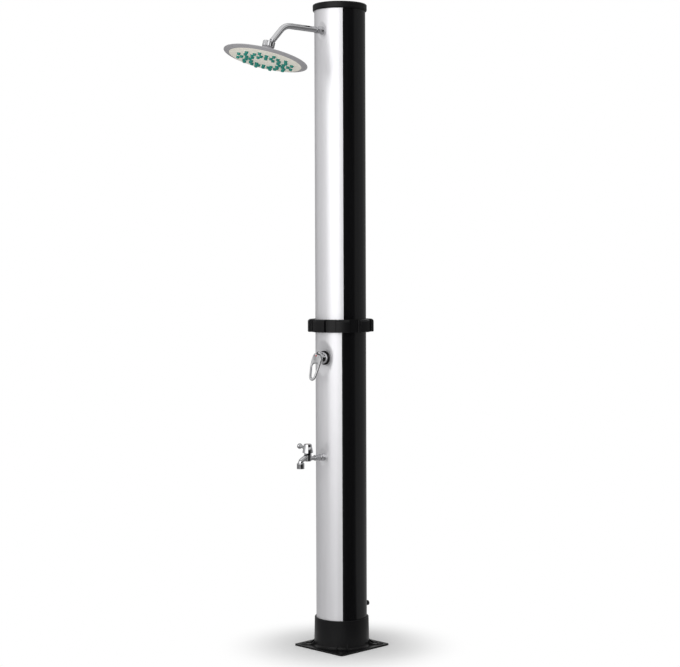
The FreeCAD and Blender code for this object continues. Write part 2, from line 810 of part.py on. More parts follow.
def supply_elbow():
    """Elbow above the foot that turns the supply up to the tap and mixer."""
    high = inlet_height + block_reach
    back = -water_line + block_reach
    body = rod(block_radius, inlet_height - block_reach, high, 0, -water_line)
    body = body.fuse(to_rear(rod(block_radius, -water_line, back), inlet_height)).removeSplitter()
    socket = water_pipe_radius + glue_gap
    body = body.cut(rod(tail_bore, inlet_height, high + 1, 0, -water_line))
    body = body.cut(rod(socket, high - pipe_insert, high + 1, 0, -water_line))
    body = body.cut(to_rear(rod(tail_bore, -water_line, back + 1), inlet_height))
    return body.cut(to_rear(rod(socket, back - pipe_insert, back + 1), inlet_height))


def feed_pipe():
    """Level pipe from the hose inlet's tail to the supply elbow."""
    start = -water_line + block_reach - pipe_insert + glue_gap
    end = tail_inner_end + valve_length / 2
    tube = ring(water_pipe_radius, water_pipe_radius - water_pipe_wall, start, tail_inner_end - block_wall)
    inner = water_pipe_radius - water_pipe_wall
    socket = turned(
        (inner, tail_inner_end - block_wall),
        (tail_radius + block_wall, tail_inner_end - block_wall),
        (tail_radius + block_wall, end),
        (tail_radius + thread_gap, end),
        (tail_radius + thread_gap, tail_inner_end - glue_gap),
        (inner, tail_inner_end - glue_gap),
    )
    return to_rear(tube.fuse(socket).removeSplitter(), inlet_height)


def block_socket(height, direction):
    """Height at which a pipe's end stops inside a block above or below it."""
    return height + direction * (block_reach - pipe_insert + glue_gap)


def cold_pipes():
    """Supply pipes from the elbow to the tap's tee, and on to the mixer."""
    low = water_pipe(block_socket(inlet_height, 1), block_socket(tap_height, -1), water_line)
    mixer_port = mixer_height - mixer_body_radius - pipe_insert
    high = water_pipe(block_socket(tap_height, 1), mixer_port + pipe_insert - glue_gap, water_line)
    return Part.makeCompound([low, high])


def split_height():
    """Height at which the inner pipes part when the post is taken in two."""
    return (ring_top + flange_bottom) / 2


def riser_pipes():
    """Mixed water pipes from the mixer up to the arm's elbow."""
    start = mixer_height + mixer_body_radius + glue_gap
    low = water_pipe(start, split_height() - glue_gap, water_line)
    high = water_pipe(split_height() + glue_gap, block_socket(arm_height, -1), water_line)
    return Part.makeCompound([low, high])


def hot_pipes():
    """Hot water pickup from the top of the tank down to the back of the mixer."""
    start = V(0, -mixer_body_back + glue_gap, mixer_height)
    corner = V(0, hot_line, mixer_height)
    end = V(0, hot_line, split_height() - glue_gap)
    outer = bent_bar([start, corner, end], hot_bend_radius, water_pipe_radius)
    inner = bent_bar([start, corner, end], hot_bend_radius, water_pipe_radius - water_pipe_wall)
    high = water_pipe(split_height() + glue_gap, hot_pipe_top, -hot_line)
    return Part.makeCompound([outer.cut(inner), high])


def pipe_couplers():
    """Push-fit sleeves where the inner pipes part with the post."""
    half = coupler_length / 2
    sleeves = []
    for forward in (water_line, -hot_line):
        sleeve = ring(coupler_radius, water_pipe_radius + turn_gap,
                      split_height() - half, split_height() + half)
        sleeve.translate(V(0, -forward, 0))
        sleeves.append(sleeve)
    return Part.makeCompound(sleeves)


# ---- Mixer ----
def mixer_body():
    """Brass body behind the wall, with three ports and a threaded neck."""
    socket = water_pipe_radius + glue_gap
    body = turned(
        (0, mixer_body_back),
        (mixer_body_radius, mixer_body_back),
        (mixer_body_radius, mixer_shoulder),
        (mixer_neck_radius, mixer_shoulder),
        (mixer_neck_radius, mixer_neck_front),
        (cartridge_radius + thread_gap, mixer_neck_front),
        (cartridge_radius + thread_gap, cartridge_back - glue_gap),
        (0, cartridge_back - glue_gap),
    )
    boss = block_radius
    outward = mixer_body_radius + pipe_insert
    port = Part.makeCylinder(boss, 2 * outward, V(0, -outward, water_line), V(0, 1, 0))
    back_port = rod(boss, mixer_body_back - pipe_insert, mixer_body_back + 1)
    body = body.fuse([port, back_port]).removeSplitter()
    bore = rod(cartridge_radius + thread_gap, cartridge_back - glue_gap, mixer_neck_front + 1)
    body = body.cut(bore)
    body = body.cut(rod(tail_bore, mixer_body_back - pipe_insert - 1, cartridge_back))
    body = body.cut(rod(socket, mixer_body_back - pipe_insert - 1, mixer_body_back))
    for side in (-1, 1):
        way = Part.makeCylinder(tail_bore, outward + 1, V(0, 0, water_line), V(0, side, 0))
        mouth = Part.makeCylinder(socket, pipe_insert + 1, V(0, side * mixer_body_radius, water_line),
                                  V(0, side, 0))
        body = body.cut([way, mouth])
    return to_front(body, mixer_height)


def mixer_gasket():
    """Rubber ring between the mixer's shoulder and the inner wall."""
    flat = ring(mixer_body_radius, mixer_neck_radius + glue_gap,
                mixer_shoulder, mixer_shoulder + gasket_thickness)
    return to_front(flat, mixer_height)


def mixer_ring():
    """Black threaded ring that clamps the mixer in its pressed seat."""
    shape = turned(
        (mixer_neck_radius + thread_gap, mixer_seat),
        (mixer_ring_radius, mixer_seat),
        (mixer_ring_radius, mixer_ring_front - mixer_ring_bevel),
        (mixer_ring_radius - mixer_ring_bevel, mixer_ring_front),
        (mixer_neck_radius + thread_gap, mixer_ring_front),
    )
    return to_front(shape, mixer_height)


def cartridge():
    """Ceramic cartridge in the mixer's body, with a round well for the spindle."""
    shape = turned(
        (0, cartridge_back),
        (cartridge_radius, cartridge_back),
        (cartridge_radius, mixer_neck_front),
        (mixer_neck_radius - 2 * glue_gap, mixer_neck_front),
        (mixer_neck_radius - 2 * glue_gap, mixer_neck_front + cartridge_rim),
        (spindle_radius + turn_gap, mixer_neck_front + cartridge_rim),
        (spindle_radius + turn_gap, spindle_back - turn_gap),
        (0, spindle_back - turn_gap),
    )
    return to_front(shape, mixer_height)


def mixer_cap():
    """Round-nosed cover screwed onto the mixer's neck."""
    inner = mixer_cap_radius - mixer_cap_wall
    mouth = mixer_cap_mouth
    outer_mouth = math.degrees(math.asin(mouth / mixer_cap_radius))
    inner_mouth = math.degrees(math.asin(mouth / inner))
    ledge = mixer_neck_front + cartridge_rim
    shape = turned(
        (mixer_cap_radius, mixer_ring_front),
        (mixer_cap_radius, mixer_pivot),
        (on_circle(mixer_cap_radius, mixer_pivot, (90 + outer_mouth) / 2),
         on_circle(mixer_cap_radius, mixer_pivot, outer_mouth)),
        on_circle(inner, mixer_pivot, inner_mouth),
        (on_circle(inner, mixer_pivot, (90 + inner_mouth) / 2), (inner, mixer_pivot)),
        (cap_ledge_radius, mixer_pivot),
        (cap_ledge_radius, ledge),
        (mixer_neck_radius + thread_gap, ledge),
        (mixer_neck_radius + thread_gap, mixer_ring_front),
    )
    return to_front(shape, mixer_height)


def mixer_spindle():
    """Spindle that turns in the cartridge, slotted for the lever's stem."""
    body = rod(spindle_radius, spindle_back, spindle_front)
    floor = mixer_pivot - stem_eye_radius - sweep_gap
    width = 2 * (stem_radius + sweep_gap)
    slot = Part.makeBox(width, 4 * spindle_radius, spindle_front, V(-width / 2, -2 * spindle_radius, floor))
    pin_way = Part.makeCylinder(pivot_pin_radius, 4 * spindle_radius,
                                V(-2 * spindle_radius, 0, mixer_pivot), V(1, 0, 0))
    return to_front(body.cut([slot, pin_way]), mixer_height)


def lever_pin():
    """Cross pin that the stem tips on."""
    length = 2 * (spindle_radius - 0.5)
    pin = Part.makeCylinder(pivot_pin_radius, length, V(-length / 2, 0, mixer_pivot), V(1, 0, 0))
    return to_front(pin, mixer_height)


def lever_stem():
    """Stem with an eye on the pin and a round end in the lever's hub."""
    eye = Part.makeCylinder(stem_eye_radius, 2 * stem_radius, V(-stem_radius, 0, mixer_pivot), V(1, 0, 0))
    shape = eye.fuse(rod(stem_radius, mixer_pivot, stem_front)).removeSplitter()
    hole = Part.makeCylinder(pivot_pin_radius + turn_gap, 4 * stem_radius,
                             V(-2 * stem_radius, 0, mixer_pivot), V(1, 0, 0))
    return to_front(shape.cut(hole), mixer_height)


def lever_screw_rod(radius, start, end):
    """Round bar along the set screw's axis, measured from the stem."""
    turn = math.radians(lever_screw_turn)
    rise = math.radians(lever_screw_rise)
    way = V(math.sin(turn) * math.cos(rise), math.sin(rise), math.cos(turn) * math.cos(rise))
    origin = V(0, 0, mixer_pivot + lever_screw_start)
    return Part.makeCylinder(radius, end - start, origin + way * start, way)


def lever_index_rod(radius, start, end):
    """Round bar from the pivot through the middle of the hot and cold mark."""
    rise = math.radians(index_angle)
    way = V(0, math.sin(rise), math.cos(rise))
    return Part.makeCylinder(radius, end - start, V(0, 0, mixer_pivot) + way * start, way)


def closed_curve(points):
    """Smooth closed outline through a few points on one side of a middle line."""
    whole = points + [(-x, y) for x, y in reversed(points) if x > 0]
    curve = Part.BSplineCurve()
    curve.interpolate(Points=[V(x, y, 0) for x, y in whole], PeriodicFlag=True)
    return Part.Wire([curve.toShape()])


def lever_loop():
    """Flat loop handle, open in its middle, drawn hanging down from the hub."""
    wide = loop_half_width
    slot = slot_half_width
    middle = (slot_top + slot_bottom) / 2
    outline = closed_curve([
        (0, 6.0), (loop_top_half_width - 3.0, 3.0), (loop_top_half_width, -6.0), (wide, -loop_length * 0.42),
        (wide * 0.9, -loop_length * 0.72), (wide * 0.5, -loop_length * 0.95), (0, -loop_length),
    ])
    hole = closed_curve([
        (0, -slot_top), (slot * 0.62, -slot_top - 3.5), (slot, -middle + 4.0), (slot * 0.94, -middle - 10.0),
        (slot * 0.5, -slot_bottom + 2.0), (0, -slot_bottom),
    ])
    plate = Part.Face(outline).extrude(V(0, 0, loop_thickness))
    plate = plate.cut(Part.Face(hole).extrude(V(0, 0, loop_thickness)))
    rims = [edge for edge in plate.Edges
            if edge.BoundBox.ZLength < 0.01]
    plate = plate.makeFillet(loop_edge_radius, rims)
    plate.translate(V(0, 0, -loop_thickness / 2))
    plate.rotate(V(0, 0, 0), V(1, 0, 0), -loop_lean)
    plate.translate(V(0, 0, loop_start))
    return plate


def mixer_lever():
    """Lever casting: domed hub over the cap, and the loop below it."""
    back = mixer_cap_radius + sweep_gap
    rim = mixer_pivot + sphere_height(back, hub_radius)
    edge = mixer_pivot + sphere_height(hub_front, hub_radius)
    bend = hub_edge_radius
    outer_angle = math.degrees(math.asin((hub_radius - bend * 0.55) / (hub_front - 0.2)))
    inner_angle = math.degrees(math.asin(hub_radius / back))
    hub = turned(
        (0, mixer_pivot + back),
        (on_circle(back, mixer_pivot, inner_angle / 2), (hub_radius, rim)),
        (hub_radius, edge - bend),
        (on_circle(hub_front - 0.9, mixer_pivot, outer_angle + 1.2),
         on_circle(hub_front, mixer_pivot, outer_angle - 5.0)),
        (on_circle(hub_front, mixer_pivot, (outer_angle - 5.0) / 2), (0, mixer_pivot + hub_front)),
    )
    body = hub.fuse(lever_loop()).removeSplitter()
    body = body.cut(rod(stem_radius + glue_gap / 2, mixer_pivot, stem_front + 0.5))
    body = body.cut(lever_index_rod(index_radius + glue_gap / 2, hub_front - index_depth, hub_front + 5))
    body = body.cut(lever_screw_rod(lever_screw_radius + glue_gap / 2, 0, hub_front))
    return to_front(body, mixer_height)


def lever_index():
    """Small round hot and cold mark let into the hub."""
    return to_front(lever_index_rod(index_radius, hub_front - index_depth, hub_front), mixer_height)


def lever_screw():
    """Set screw that holds the lever on its stem, with a hexagon socket."""
    lean = math.cos(math.radians(lever_screw_turn)) * math.cos(math.radians(lever_screw_rise))
    start = (stem_radius + seat_gap + lever_screw_radius * lean) / math.sqrt(1 - lean ** 2)
    shape = lever_screw_rod(lever_screw_radius, start, start + lever_screw_length)
    socket = lever_screw_rod(lever_screw_radius * 0.5, start + lever_screw_length - 2.0,
                             start + lever_screw_length + 1)
    return to_front(shape.cut(socket), mixer_height)


# ---- Shower arm ----
def arm_flange():
    """Arm's wall fitting, socketed for the arm."""
    body = wall_flange(arm_flange_radius, arm_flange_front, arm_flange_radius - arm_flange_taper)
    return to_front(body, arm_height)


def arm_nut():
    """Hexagonal nut that clamps the arm to its wall fitting."""
    body = hexagon(arm_nut_flats, arm_flange_front, arm_nut_front)
    trim = turned(
        (0, arm_flange_front),
        (arm_nut_flats / 2 + 0.9, arm_flange_front),
        (arm_nut_flats / 2 + 0.9, arm_nut_front - 2.0),
        (arm_nut_flats / 2 - 0.4, arm_nut_front),
        (0, arm_nut_front),
    )
    body = body.common(trim)
    return to_front(body.cut(rod(arm_tube_radius + thread_gap, arm_flange_front, arm_nut_front)), arm_height)


def arm_bar(radius, lead_in):
    """Solid bar along the arm, from its wall fitting to its end."""
    drop = V(0, -math.cos(arm_drop), -math.sin(arm_drop))
    start = V(0, -arm_flange_front + lead_in, arm_height)
    corner = V(0, -arm_bend_reach, arm_height)
    end = ball_centre - drop * (arm_end_gap - lead_in)
    return bent_bar([start, corner, end], arm_bend_radius, radius)


def shower_arm():
    """Bent tube that carries the water out to the head."""
    drop = V(0, -math.cos(arm_drop), -math.sin(arm_drop))
    solid = arm_bar(arm_tube_radius, 0)
    ends = [edge for edge in solid.Edges
            if (edge.BoundBox.Center - (ball_centre - drop * arm_end_gap)).Length < 0.5]
    solid = solid.makeChamfer(arm_end_chamfer, ends)
    return solid.cut(arm_bar(arm_tube_radius - arm_tube_wall, 1.0))


def arm_turned(shape):
    """Lay a turned piece along the arm's end, its top pointing back up the arm."""
    shape = shape.copy()
    shape.rotate(V(0, 0, 0), V(1, 0, 0), arm_drop_angle - 90)
    shape.translate(ball_centre)
    return shape


def ball_stud():
    """Ball, stem and plug at the arm's end, bored for water."""
    ball = Part.makeSphere(ball_radius)
    stem = rod(ball_stem_radius, 0, arm_end_gap)
    tail = rod(arm_tube_radius - arm_tube_wall - glue_gap / 2, arm_end_gap, arm_end_gap + ball_plug_length)
    shape = ball.fuse([stem, tail]).removeSplitter()
    bore = rod(ball_bore_radius, -ball_radius - 1, arm_end_gap + ball_plug_length + 1)
    return arm_turned(shape.cut(bore))


# ---- Shower head, drawn round the middle of the ball with its face down ----
def head_placed(shape):
    """Tilt a head piece to its resting direction on the ball."""
    tilt = math.radians(head_tilt)
    turn = math.radians(head_turn)
    up = V(-math.sin(tilt) * math.sin(turn), math.sin(tilt) * math.cos(turn), math.cos(tilt))
    shape = shape.copy()
    spin = FreeCAD.Rotation(V(0, 0, 1), up)
    shape.rotate(V(0, 0, 0), spin.Axis, math.degrees(spin.Angle))
    shape.translate(ball_centre)
    return shape


def swivel_nut():
    """Fluted nut that traps the ball in the head's neck."""
    cavity = ball_radius + swivel_ring_wall + 2 * turn_gap
    mouth = on_circle(cavity, 0, nut_mouth_angle)
    thread = neck_radius + thread_gap
    body = turned(
        (thread, nut_bottom),
        (nut_radius - 0.8, nut_bottom),
        (nut_radius, nut_bottom + 0.8),
        (nut_radius, nut_top - 1.6),
        ((nut_radius - 0.47, nut_top - 0.47), (nut_radius - 1.6, nut_top)),
        (nut_mouth_radius, nut_top),
        mouth,
        (on_circle(cavity, 0, (nut_mouth_angle + 90) / 2), (cavity, 0)),
        (cavity, neck_top + seat_gap),
        (thread, neck_top + seat_gap),
    )
    cutter = rod(nut_flute_radius, nut_bottom - 1, nut_top + 1,
                 nut_radius + nut_flute_radius - nut_flute_depth)
    flutes = []
    for i in range(nut_flutes):
        flute = cutter.copy()
        flute.rotate(V(0, 0, 0), V(0, 0, 1), 360.0 * i / nut_flutes)
        flutes.append(flute)
    return head_placed(body.cut(flutes))


def swivel_ring():
    """Thin slippery ring between the ball and the nut."""
    inner = ball_radius + turn_gap
    outer = inner + swivel_ring_wall
    top = swivel_ring_top_angle
    low = swivel_ring_low_angle
    middle = (top + low) / 2
    shape = turned(
        on_circle(inner, 0, top),
        (on_circle(inner, 0, middle), on_circle(inner, 0, low)),
        on_circle(outer, 0, low),
        (on_circle(outer, 0, middle), on_circle(outer, 0, top)),
    )
    return head_placed(shape)


def seat_washer():
    """Cupped washer under the ball in the head's neck."""
    inner = ball_radius + turn_gap
    outer = neck_radius - neck_bore_wall - glue_gap
    floor = neck_floor + turn_gap
    hole = neck_water_radius
    top = (math.sqrt(inner ** 2 - seat_washer_top ** 2), seat_washer_top)
    low = (hole, -sphere_height(inner, hole))
    turn = (math.degrees(math.atan2(top[0], top[1])) + math.degrees(math.atan2(low[0], low[1]))) / 2
    shape = turned(
        (hole, floor),
        (outer, floor),
        (outer, seat_washer_top),
        top,
        (on_circle(inner, 0, turn), low),
    )
    return head_placed(shape)


def head_shell():
    """Thin domed back of the head with its bevelled rim and neck."""
    face = -face_drop
    dome = face + shell_dome
    rim = face + rim_rise
    wall = shell_wall
    bore = neck_radius - neck_bore_wall
    water = neck_water_radius
    ledge = face + face_thickness
    inner_dome = neck_floor - wall
    crest = dome - wall + 0.5
    edge_top = rim + rim_edge
    mid = (face_radius * 0.62, face + shell_dome * 0.62)
    inside = (face_radius * 0.62, face + shell_dome * 0.62 - wall)
    shape = turned(
        (face_radius + glue_gap, face),
        (rim_radius - 0.6, rim - 0.2),
        ((rim_radius, rim + rim_edge * 0.4), (rim_radius - 1.4, edge_top)),
        (mid, (neck_radius + shell_flare, dome)),
        ((neck_radius + 0.23 * shell_flare, dome + 0.31 * shell_flare), (neck_radius, dome + shell_flare)),
        (neck_radius, neck_top),
        (bore, neck_top),
        (bore, neck_floor),
        (water, neck_floor),
        (water, inner_dome),
        (neck_radius + shell_flare / 2, crest),
        (inside, (face_radius - face_ledge, ledge + 1.5)),
        (face_radius - face_ledge, ledge),
        (face_radius + glue_gap, ledge),
    )
    return head_placed(shape)


def nozzle_places():
    """Centres of the nozzles: clusters of three round a ring."""
    places = []
    for cluster in range(nozzle_clusters):
        turn = 2 * math.pi * cluster / nozzle_clusters
        middle = V(nozzle_ring_radius * math.cos(turn), nozzle_ring_radius * math.sin(turn), 0)
        for corner in range(3):
            lean = turn + 2 * math.pi * corner / 3
            places.append(middle + V(math.cos(lean), math.sin(lean), 0) * nozzle_cluster_radius)
    return places


def face_plate():
    """Round face with a hole for each nozzle."""
    face = -face_drop
    plate = rod(face_radius, face, face + face_thickness)
    holes = [rod(nozzle_root_radius + glue_gap / 2, face - 1, face + face_thickness + 1, p.x, p.y)
             for p in nozzle_places()]
    return head_placed(plate.cut(holes))


def nozzle_mat():
    """Soft mat behind the face, with nozzles that stand out through it."""
    face = -face_drop
    back = face + face_thickness
    mat = ring(nozzle_ring_radius + nozzle_mat_reach, nozzle_ring_radius - nozzle_mat_reach,
               back, back + nozzle_mat_thickness)
    nozzles = []
    for p in nozzle_places():
        nozzles.append(rod(nozzle_root_radius, face, back, p.x, p.y))
        nozzles.append(Part.makeCone(nozzle_tip_radius, nozzle_root_radius, nozzle_length,
                                     V(p.x, p.y, face - nozzle_length)))
    return head_placed(mat.fuse(nozzles).removeSplitter())


# ---- Foot tap ----
def tap_flange():
    """Tap's wall fitting, with a hexagon in front of its rim."""
    body = wall_flange(tap_flange_radius, tap_flange_front, tap_flange_radius - tap_flange_taper)
    rim_front = wall_seat + flange_rim
    flats = hexagon(tap_flange_flats, rim_front, tap_flange_front)
    return to_front(body.common(flats.fuse(rod(tap_flange_radius, tail_inner_end, rim_front))), tap_height)


def tap_body():
    """Tap casting: nut end, neck, upright barrel and curved spout."""
    nut = hexagon(tap_nut_flats, tap_flange_front, tap_nut_front)
    trim = turned(
        (0, tap_flange_front),
        (tap_nut_flats / 2 + 0.8, tap_flange_front),
        (tap_nut_flats / 2 + 0.8, tap_nut_front - 1.8),
        (tap_neck_radius + 1.5, tap_nut_front),
        (0, tap_nut_front),
    )
    neck = rod(tap_neck_radius, tap_nut_front - 1.0, tap_reach)
    body = to_front(nut.common(trim).fuse(neck), tap_height)
    barrel = turned(
        (0, tap_barrel_bottom),
        (tap_barrel_radius - 3.5, tap_barrel_bottom),
        ((tap_barrel_radius - 1.1, tap_barrel_bottom + 1.1), (tap_barrel_radius, tap_barrel_bottom + 3.5)),
        (tap_barrel_radius, tap_barrel_top - 1.0),
        (tap_barrel_radius - 1.0, tap_barrel_top),
        (0, tap_barrel_top),
    )
    barrel.translate(V(0, -tap_reach, 0))
    start = V(0, -tap_reach, tap_height + spout_rise)
    corner = V(0, -spout_reach, tap_height + spout_rise - spout_fall)
    end = V(0, -spout_reach, outlet_bottom + aerator_depth + 1.0)
    spout = bent_bar([start, corner, end], spout_bend_radius, spout_radius)
    above = rod(bonnet_flats / math.sqrt(3) + seat_gap, tap_barrel_top, hood_top, 0, -tap_reach)
    body = body.fuse([barrel, spout.cut(above)]).removeSplitter()
    way_in = to_front(rod(tap_inlet_bore, tap_flange_front - 1, tap_reach), tap_height)
    lower = rod(tap_chamber_radius, tap_chamber_floor, tap_seat_level + 1, 0, -tap_reach)
    upper = rod(bonnet_radius - bonnet_thread_step, tap_seat_level, tap_barrel_top + 1, 0, -tap_reach)
    inner_start = start + (corner - start).normalize() * (tap_chamber_radius + tap_chamber_wall)
    way_out = bent_bar([inner_start, corner, end - V(0, 0, 2)], spout_bend_radius, spout_bore)
    return body.cut([way_in, lower, upper, way_out])


def tap_outlet():
    """Round outlet collar screwed onto the spout."""
    bend = outlet_edge_radius
    slope = 1 - math.sqrt(0.5)
    inner = spout_radius + thread_gap
    shape = turned(
        (outlet_radius - outlet_wall, outlet_bottom),
        (outlet_radius - 0.5, outlet_bottom),
        (outlet_radius, outlet_bottom + 0.5),
        (outlet_radius, outlet_top - bend),
        ((outlet_radius - bend * slope, outlet_top - bend * slope), (outlet_radius - bend, outlet_top)),
        (inner, outlet_top),
        (inner, outlet_bottom + aerator_depth),
        (outlet_radius - outlet_wall, outlet_bottom + aerator_depth),
    )
    shape.translate(V(0, -spout_reach, 0))
    return shape


def tap_aerator():
    """Insert that smooths the water at the outlet."""
    radius = outlet_radius - outlet_wall - glue_gap / 2
    body = rod(radius, outlet_bottom + 1.0, outlet_bottom + aerator_depth, 0, -spout_reach)
    ways = []
    for i in range(aerator_ways):
        turn = 2 * math.pi * i / aerator_ways
        ways.append(rod(aerator_way_radius, outlet_bottom, outlet_bottom + aerator_depth + 1,
                        radius * 0.55 * math.cos(turn), radius * 0.55 * math.sin(turn) - spout_reach))
    return body.cut(ways)


def tap_bonnet():
    """Bonnet screwed into the barrel, bored for the spindle."""
    hex_part = hexagon(bonnet_flats, tap_barrel_top, tap_barrel_top + bonnet_hex_height)
    upper = rod(bonnet_radius, tap_barrel_top, bonnet_top)
    low = tap_seat_level + 2 * disc_thickness + spindle_foot_height + turn_gap
    lower = rod(bonnet_radius - bonnet_thread_step - glue_gap / 2, low, tap_barrel_top)
    shape = hex_part.fuse([upper, lower]).removeSplitter()
    shape = shape.cut(rod(tap_spindle_radius + turn_gap, tap_height, bonnet_top + 1))
    shape.translate(V(0, -tap_reach, 0))
    return shape


def valve_disc(bottom, top, way_side):
    """Ceramic disc with an offset water way."""
    disc = rod(disc_radius, bottom, top)
    disc = disc.cut(rod(disc_way_radius, bottom - 1, top + 1, disc_way_offset * way_side, 0))
    disc.translate(V(0, -tap_reach, 0))
    return disc


def tap_spindle():
    """Spindle from the moving disc up into the handle."""
    low = tap_seat_level + 2 * disc_thickness
    shape = rod(tap_spindle_radius, low, tap_spindle_top)
    shape = shape.fuse(rod(spindle_foot_radius, low, low + spindle_foot_height)).removeSplitter()
    side = 4 * tap_spindle_radius
    flat = Part.makeBox(side, side, side,
                        V(tap_spindle_radius * 0.6, -side / 2, bonnet_top + spindle_flat_rise))
    shape = shape.cut(flat)
    shape.translate(V(0, -tap_reach, 0))
    return shape


def tap_handle():
    """Bell-shaped handle with one short arm and a mushroom knob."""
    bend = hood_edge_radius
    slope = 1 - math.sqrt(0.5)
    bell = turned(
        (hood_bottom_radius - hood_wall, hood_bottom),
        (hood_bottom_radius, hood_bottom),
        ((hood_bottom_radius - 1.0, (hood_bottom * 2 + hood_top) / 3),
         (hood_waist_radius, (hood_bottom + 2 * hood_top) / 3)),
        (hood_top_radius, hood_top - bend),
        ((hood_top_radius - bend * slope, hood_top - bend * slope), (hood_top_radius - bend, hood_top)),
        (0, hood_top),
        (0, tap_spindle_top + 0.5),
        (tap_spindle_radius + glue_gap / 2, tap_spindle_top + 0.5),
        (tap_spindle_radius + glue_gap / 2, bonnet_top + spindle_flat_rise),
        (hood_waist_radius - hood_wall, bonnet_top + 1.0),
        ((hood_bottom_radius - hood_wall - 0.9, (hood_bottom * 2 + hood_top) / 3),
         (hood_bottom_radius - hood_wall, hood_bottom)),
    )
    neck = handle_arm_reach - 2.0
    arm = turned(
        (0, hood_waist_radius - 2.0),
        (handle_arm_radius, hood_waist_radius - 2.0),
        (handle_arm_radius, neck - 8.0),
        ((handle_arm_radius + 0.2, neck - 4.0), (knob_neck_radius, neck)),
        ((knob_radius - 0.6, neck + 1.6), (knob_radius, neck + knob_length * 0.45)),
        ((knob_radius - 0.7, neck + knob_length * 0.7), (knob_radius * 0.7, neck + knob_length * 0.87)),
        dome(knob_radius * 0.7, neck + knob_length * 0.87, knob_length * 0.13),
    )
    arm.rotate(V(0, 0, 0), V(0, 1, 0), handle_arm_rise - 90)
    arm.translate(V(0, 0, handle_arm_height - hood_waist_radius * math.sin(math.radians(handle_arm_rise))))
    body = bell.fuse(arm).removeSplitter()
    body = body.cut(rod(tap_index_radius + glue_gap / 2, hood_top - tap_index_depth, hood_top + 1))
    body.translate(V(0, -tap_reach, 0))
    return body


def tap_index():
    """Plain red button on top of the handle."""
    return rod(tap_index_radius, hood_top - tap_index_depth, hood_top - 0.2, 0, -tap_reach)


# ---- Hose inlet ----
def saddle(inner, start, end, outside):
    """Rubber ring with one flat face and one shaped to the pipe's wall."""
    shape = to_rear(ring(gasket_radius, inner, start, end), inlet_height)
    reach = 2 * gasket_radius
    if outside:
        return shape.cut(rod(pipe_radius, inlet_height - reach, inlet_height + reach))
    return shape.common(rod(pipe_bore, inlet_height - reach, inlet_height + reach))


def hose_inlet():
    """Threaded inlet with a grooved nipple for a garden hose coupling."""
    groove_start = inlet_nipple_end - inlet_groove_end - inlet_groove_width
    body = turned(
        (inlet_nipple_bore, tail_inner_end),
        (tail_radius, tail_inner_end),
        (tail_radius, inlet_seat),
        (inlet_nipple_radius + inlet_shoulder, inlet_seat),
        (inlet_nipple_radius + inlet_shoulder, inlet_hex_front + inlet_shoulder),
        (inlet_nipple_radius, inlet_hex_front + inlet_shoulder + inlet_shoulder_slope),
        (inlet_nipple_radius, groove_start),
        (inlet_nipple_radius - inlet_groove_depth, groove_start),
        (inlet_nipple_radius - inlet_groove_depth, groove_start + inlet_groove_width),
        (inlet_nipple_radius, groove_start + inlet_groove_width),
        (inlet_nipple_radius, inlet_nipple_end - inlet_nipple_bevel),
        (inlet_nipple_radius - inlet_nipple_bevel, inlet_nipple_end),
        (inlet_nipple_bore, inlet_nipple_end),
    )
    nut = hexagon(inlet_hex_flats, inlet_seat, inlet_hex_front).cut(
        rod(tail_radius - 1, inlet_seat, inlet_hex_front))
    body = body.fuse(nut).removeSplitter()
    body = body.cut(rod(valve_radius + glue_gap, tail_inner_end - 1, tail_inner_end + valve_length))
    return to_rear(body, inlet_height)


def inlet_seal():
    """Rubber ring in the nipple's groove."""
    outer = inlet_nipple_radius - glue_gap
    start = inlet_nipple_end - inlet_groove_end - inlet_groove_width
    shape = ring(outer, inlet_nipple_radius - inlet_groove_depth,
                 start + seat_gap, start + inlet_groove_width - seat_gap)
    return to_rear(shape, inlet_height)


def check_valve():
    """Small non-return valve in the inlet's tail."""
    end = tail_inner_end + valve_length - glue_gap
    body = rod(valve_radius, tail_inner_end + 0.5, end)
    body = body.cut(rod(valve_radius - 1.8, tail_inner_end, end - 3.0))
    ways = []
    for i in range(valve_ways):
        turn = 2 * math.pi * (i + 0.5) / valve_ways
        ways.append(rod(valve_radius * 0.21, tail_inner_end, end + 1,
                        valve_radius * 0.5 * math.cos(turn), valve_radius * 0.5 * math.sin(turn)))
    return to_rear(body.cut(ways), inlet_height)


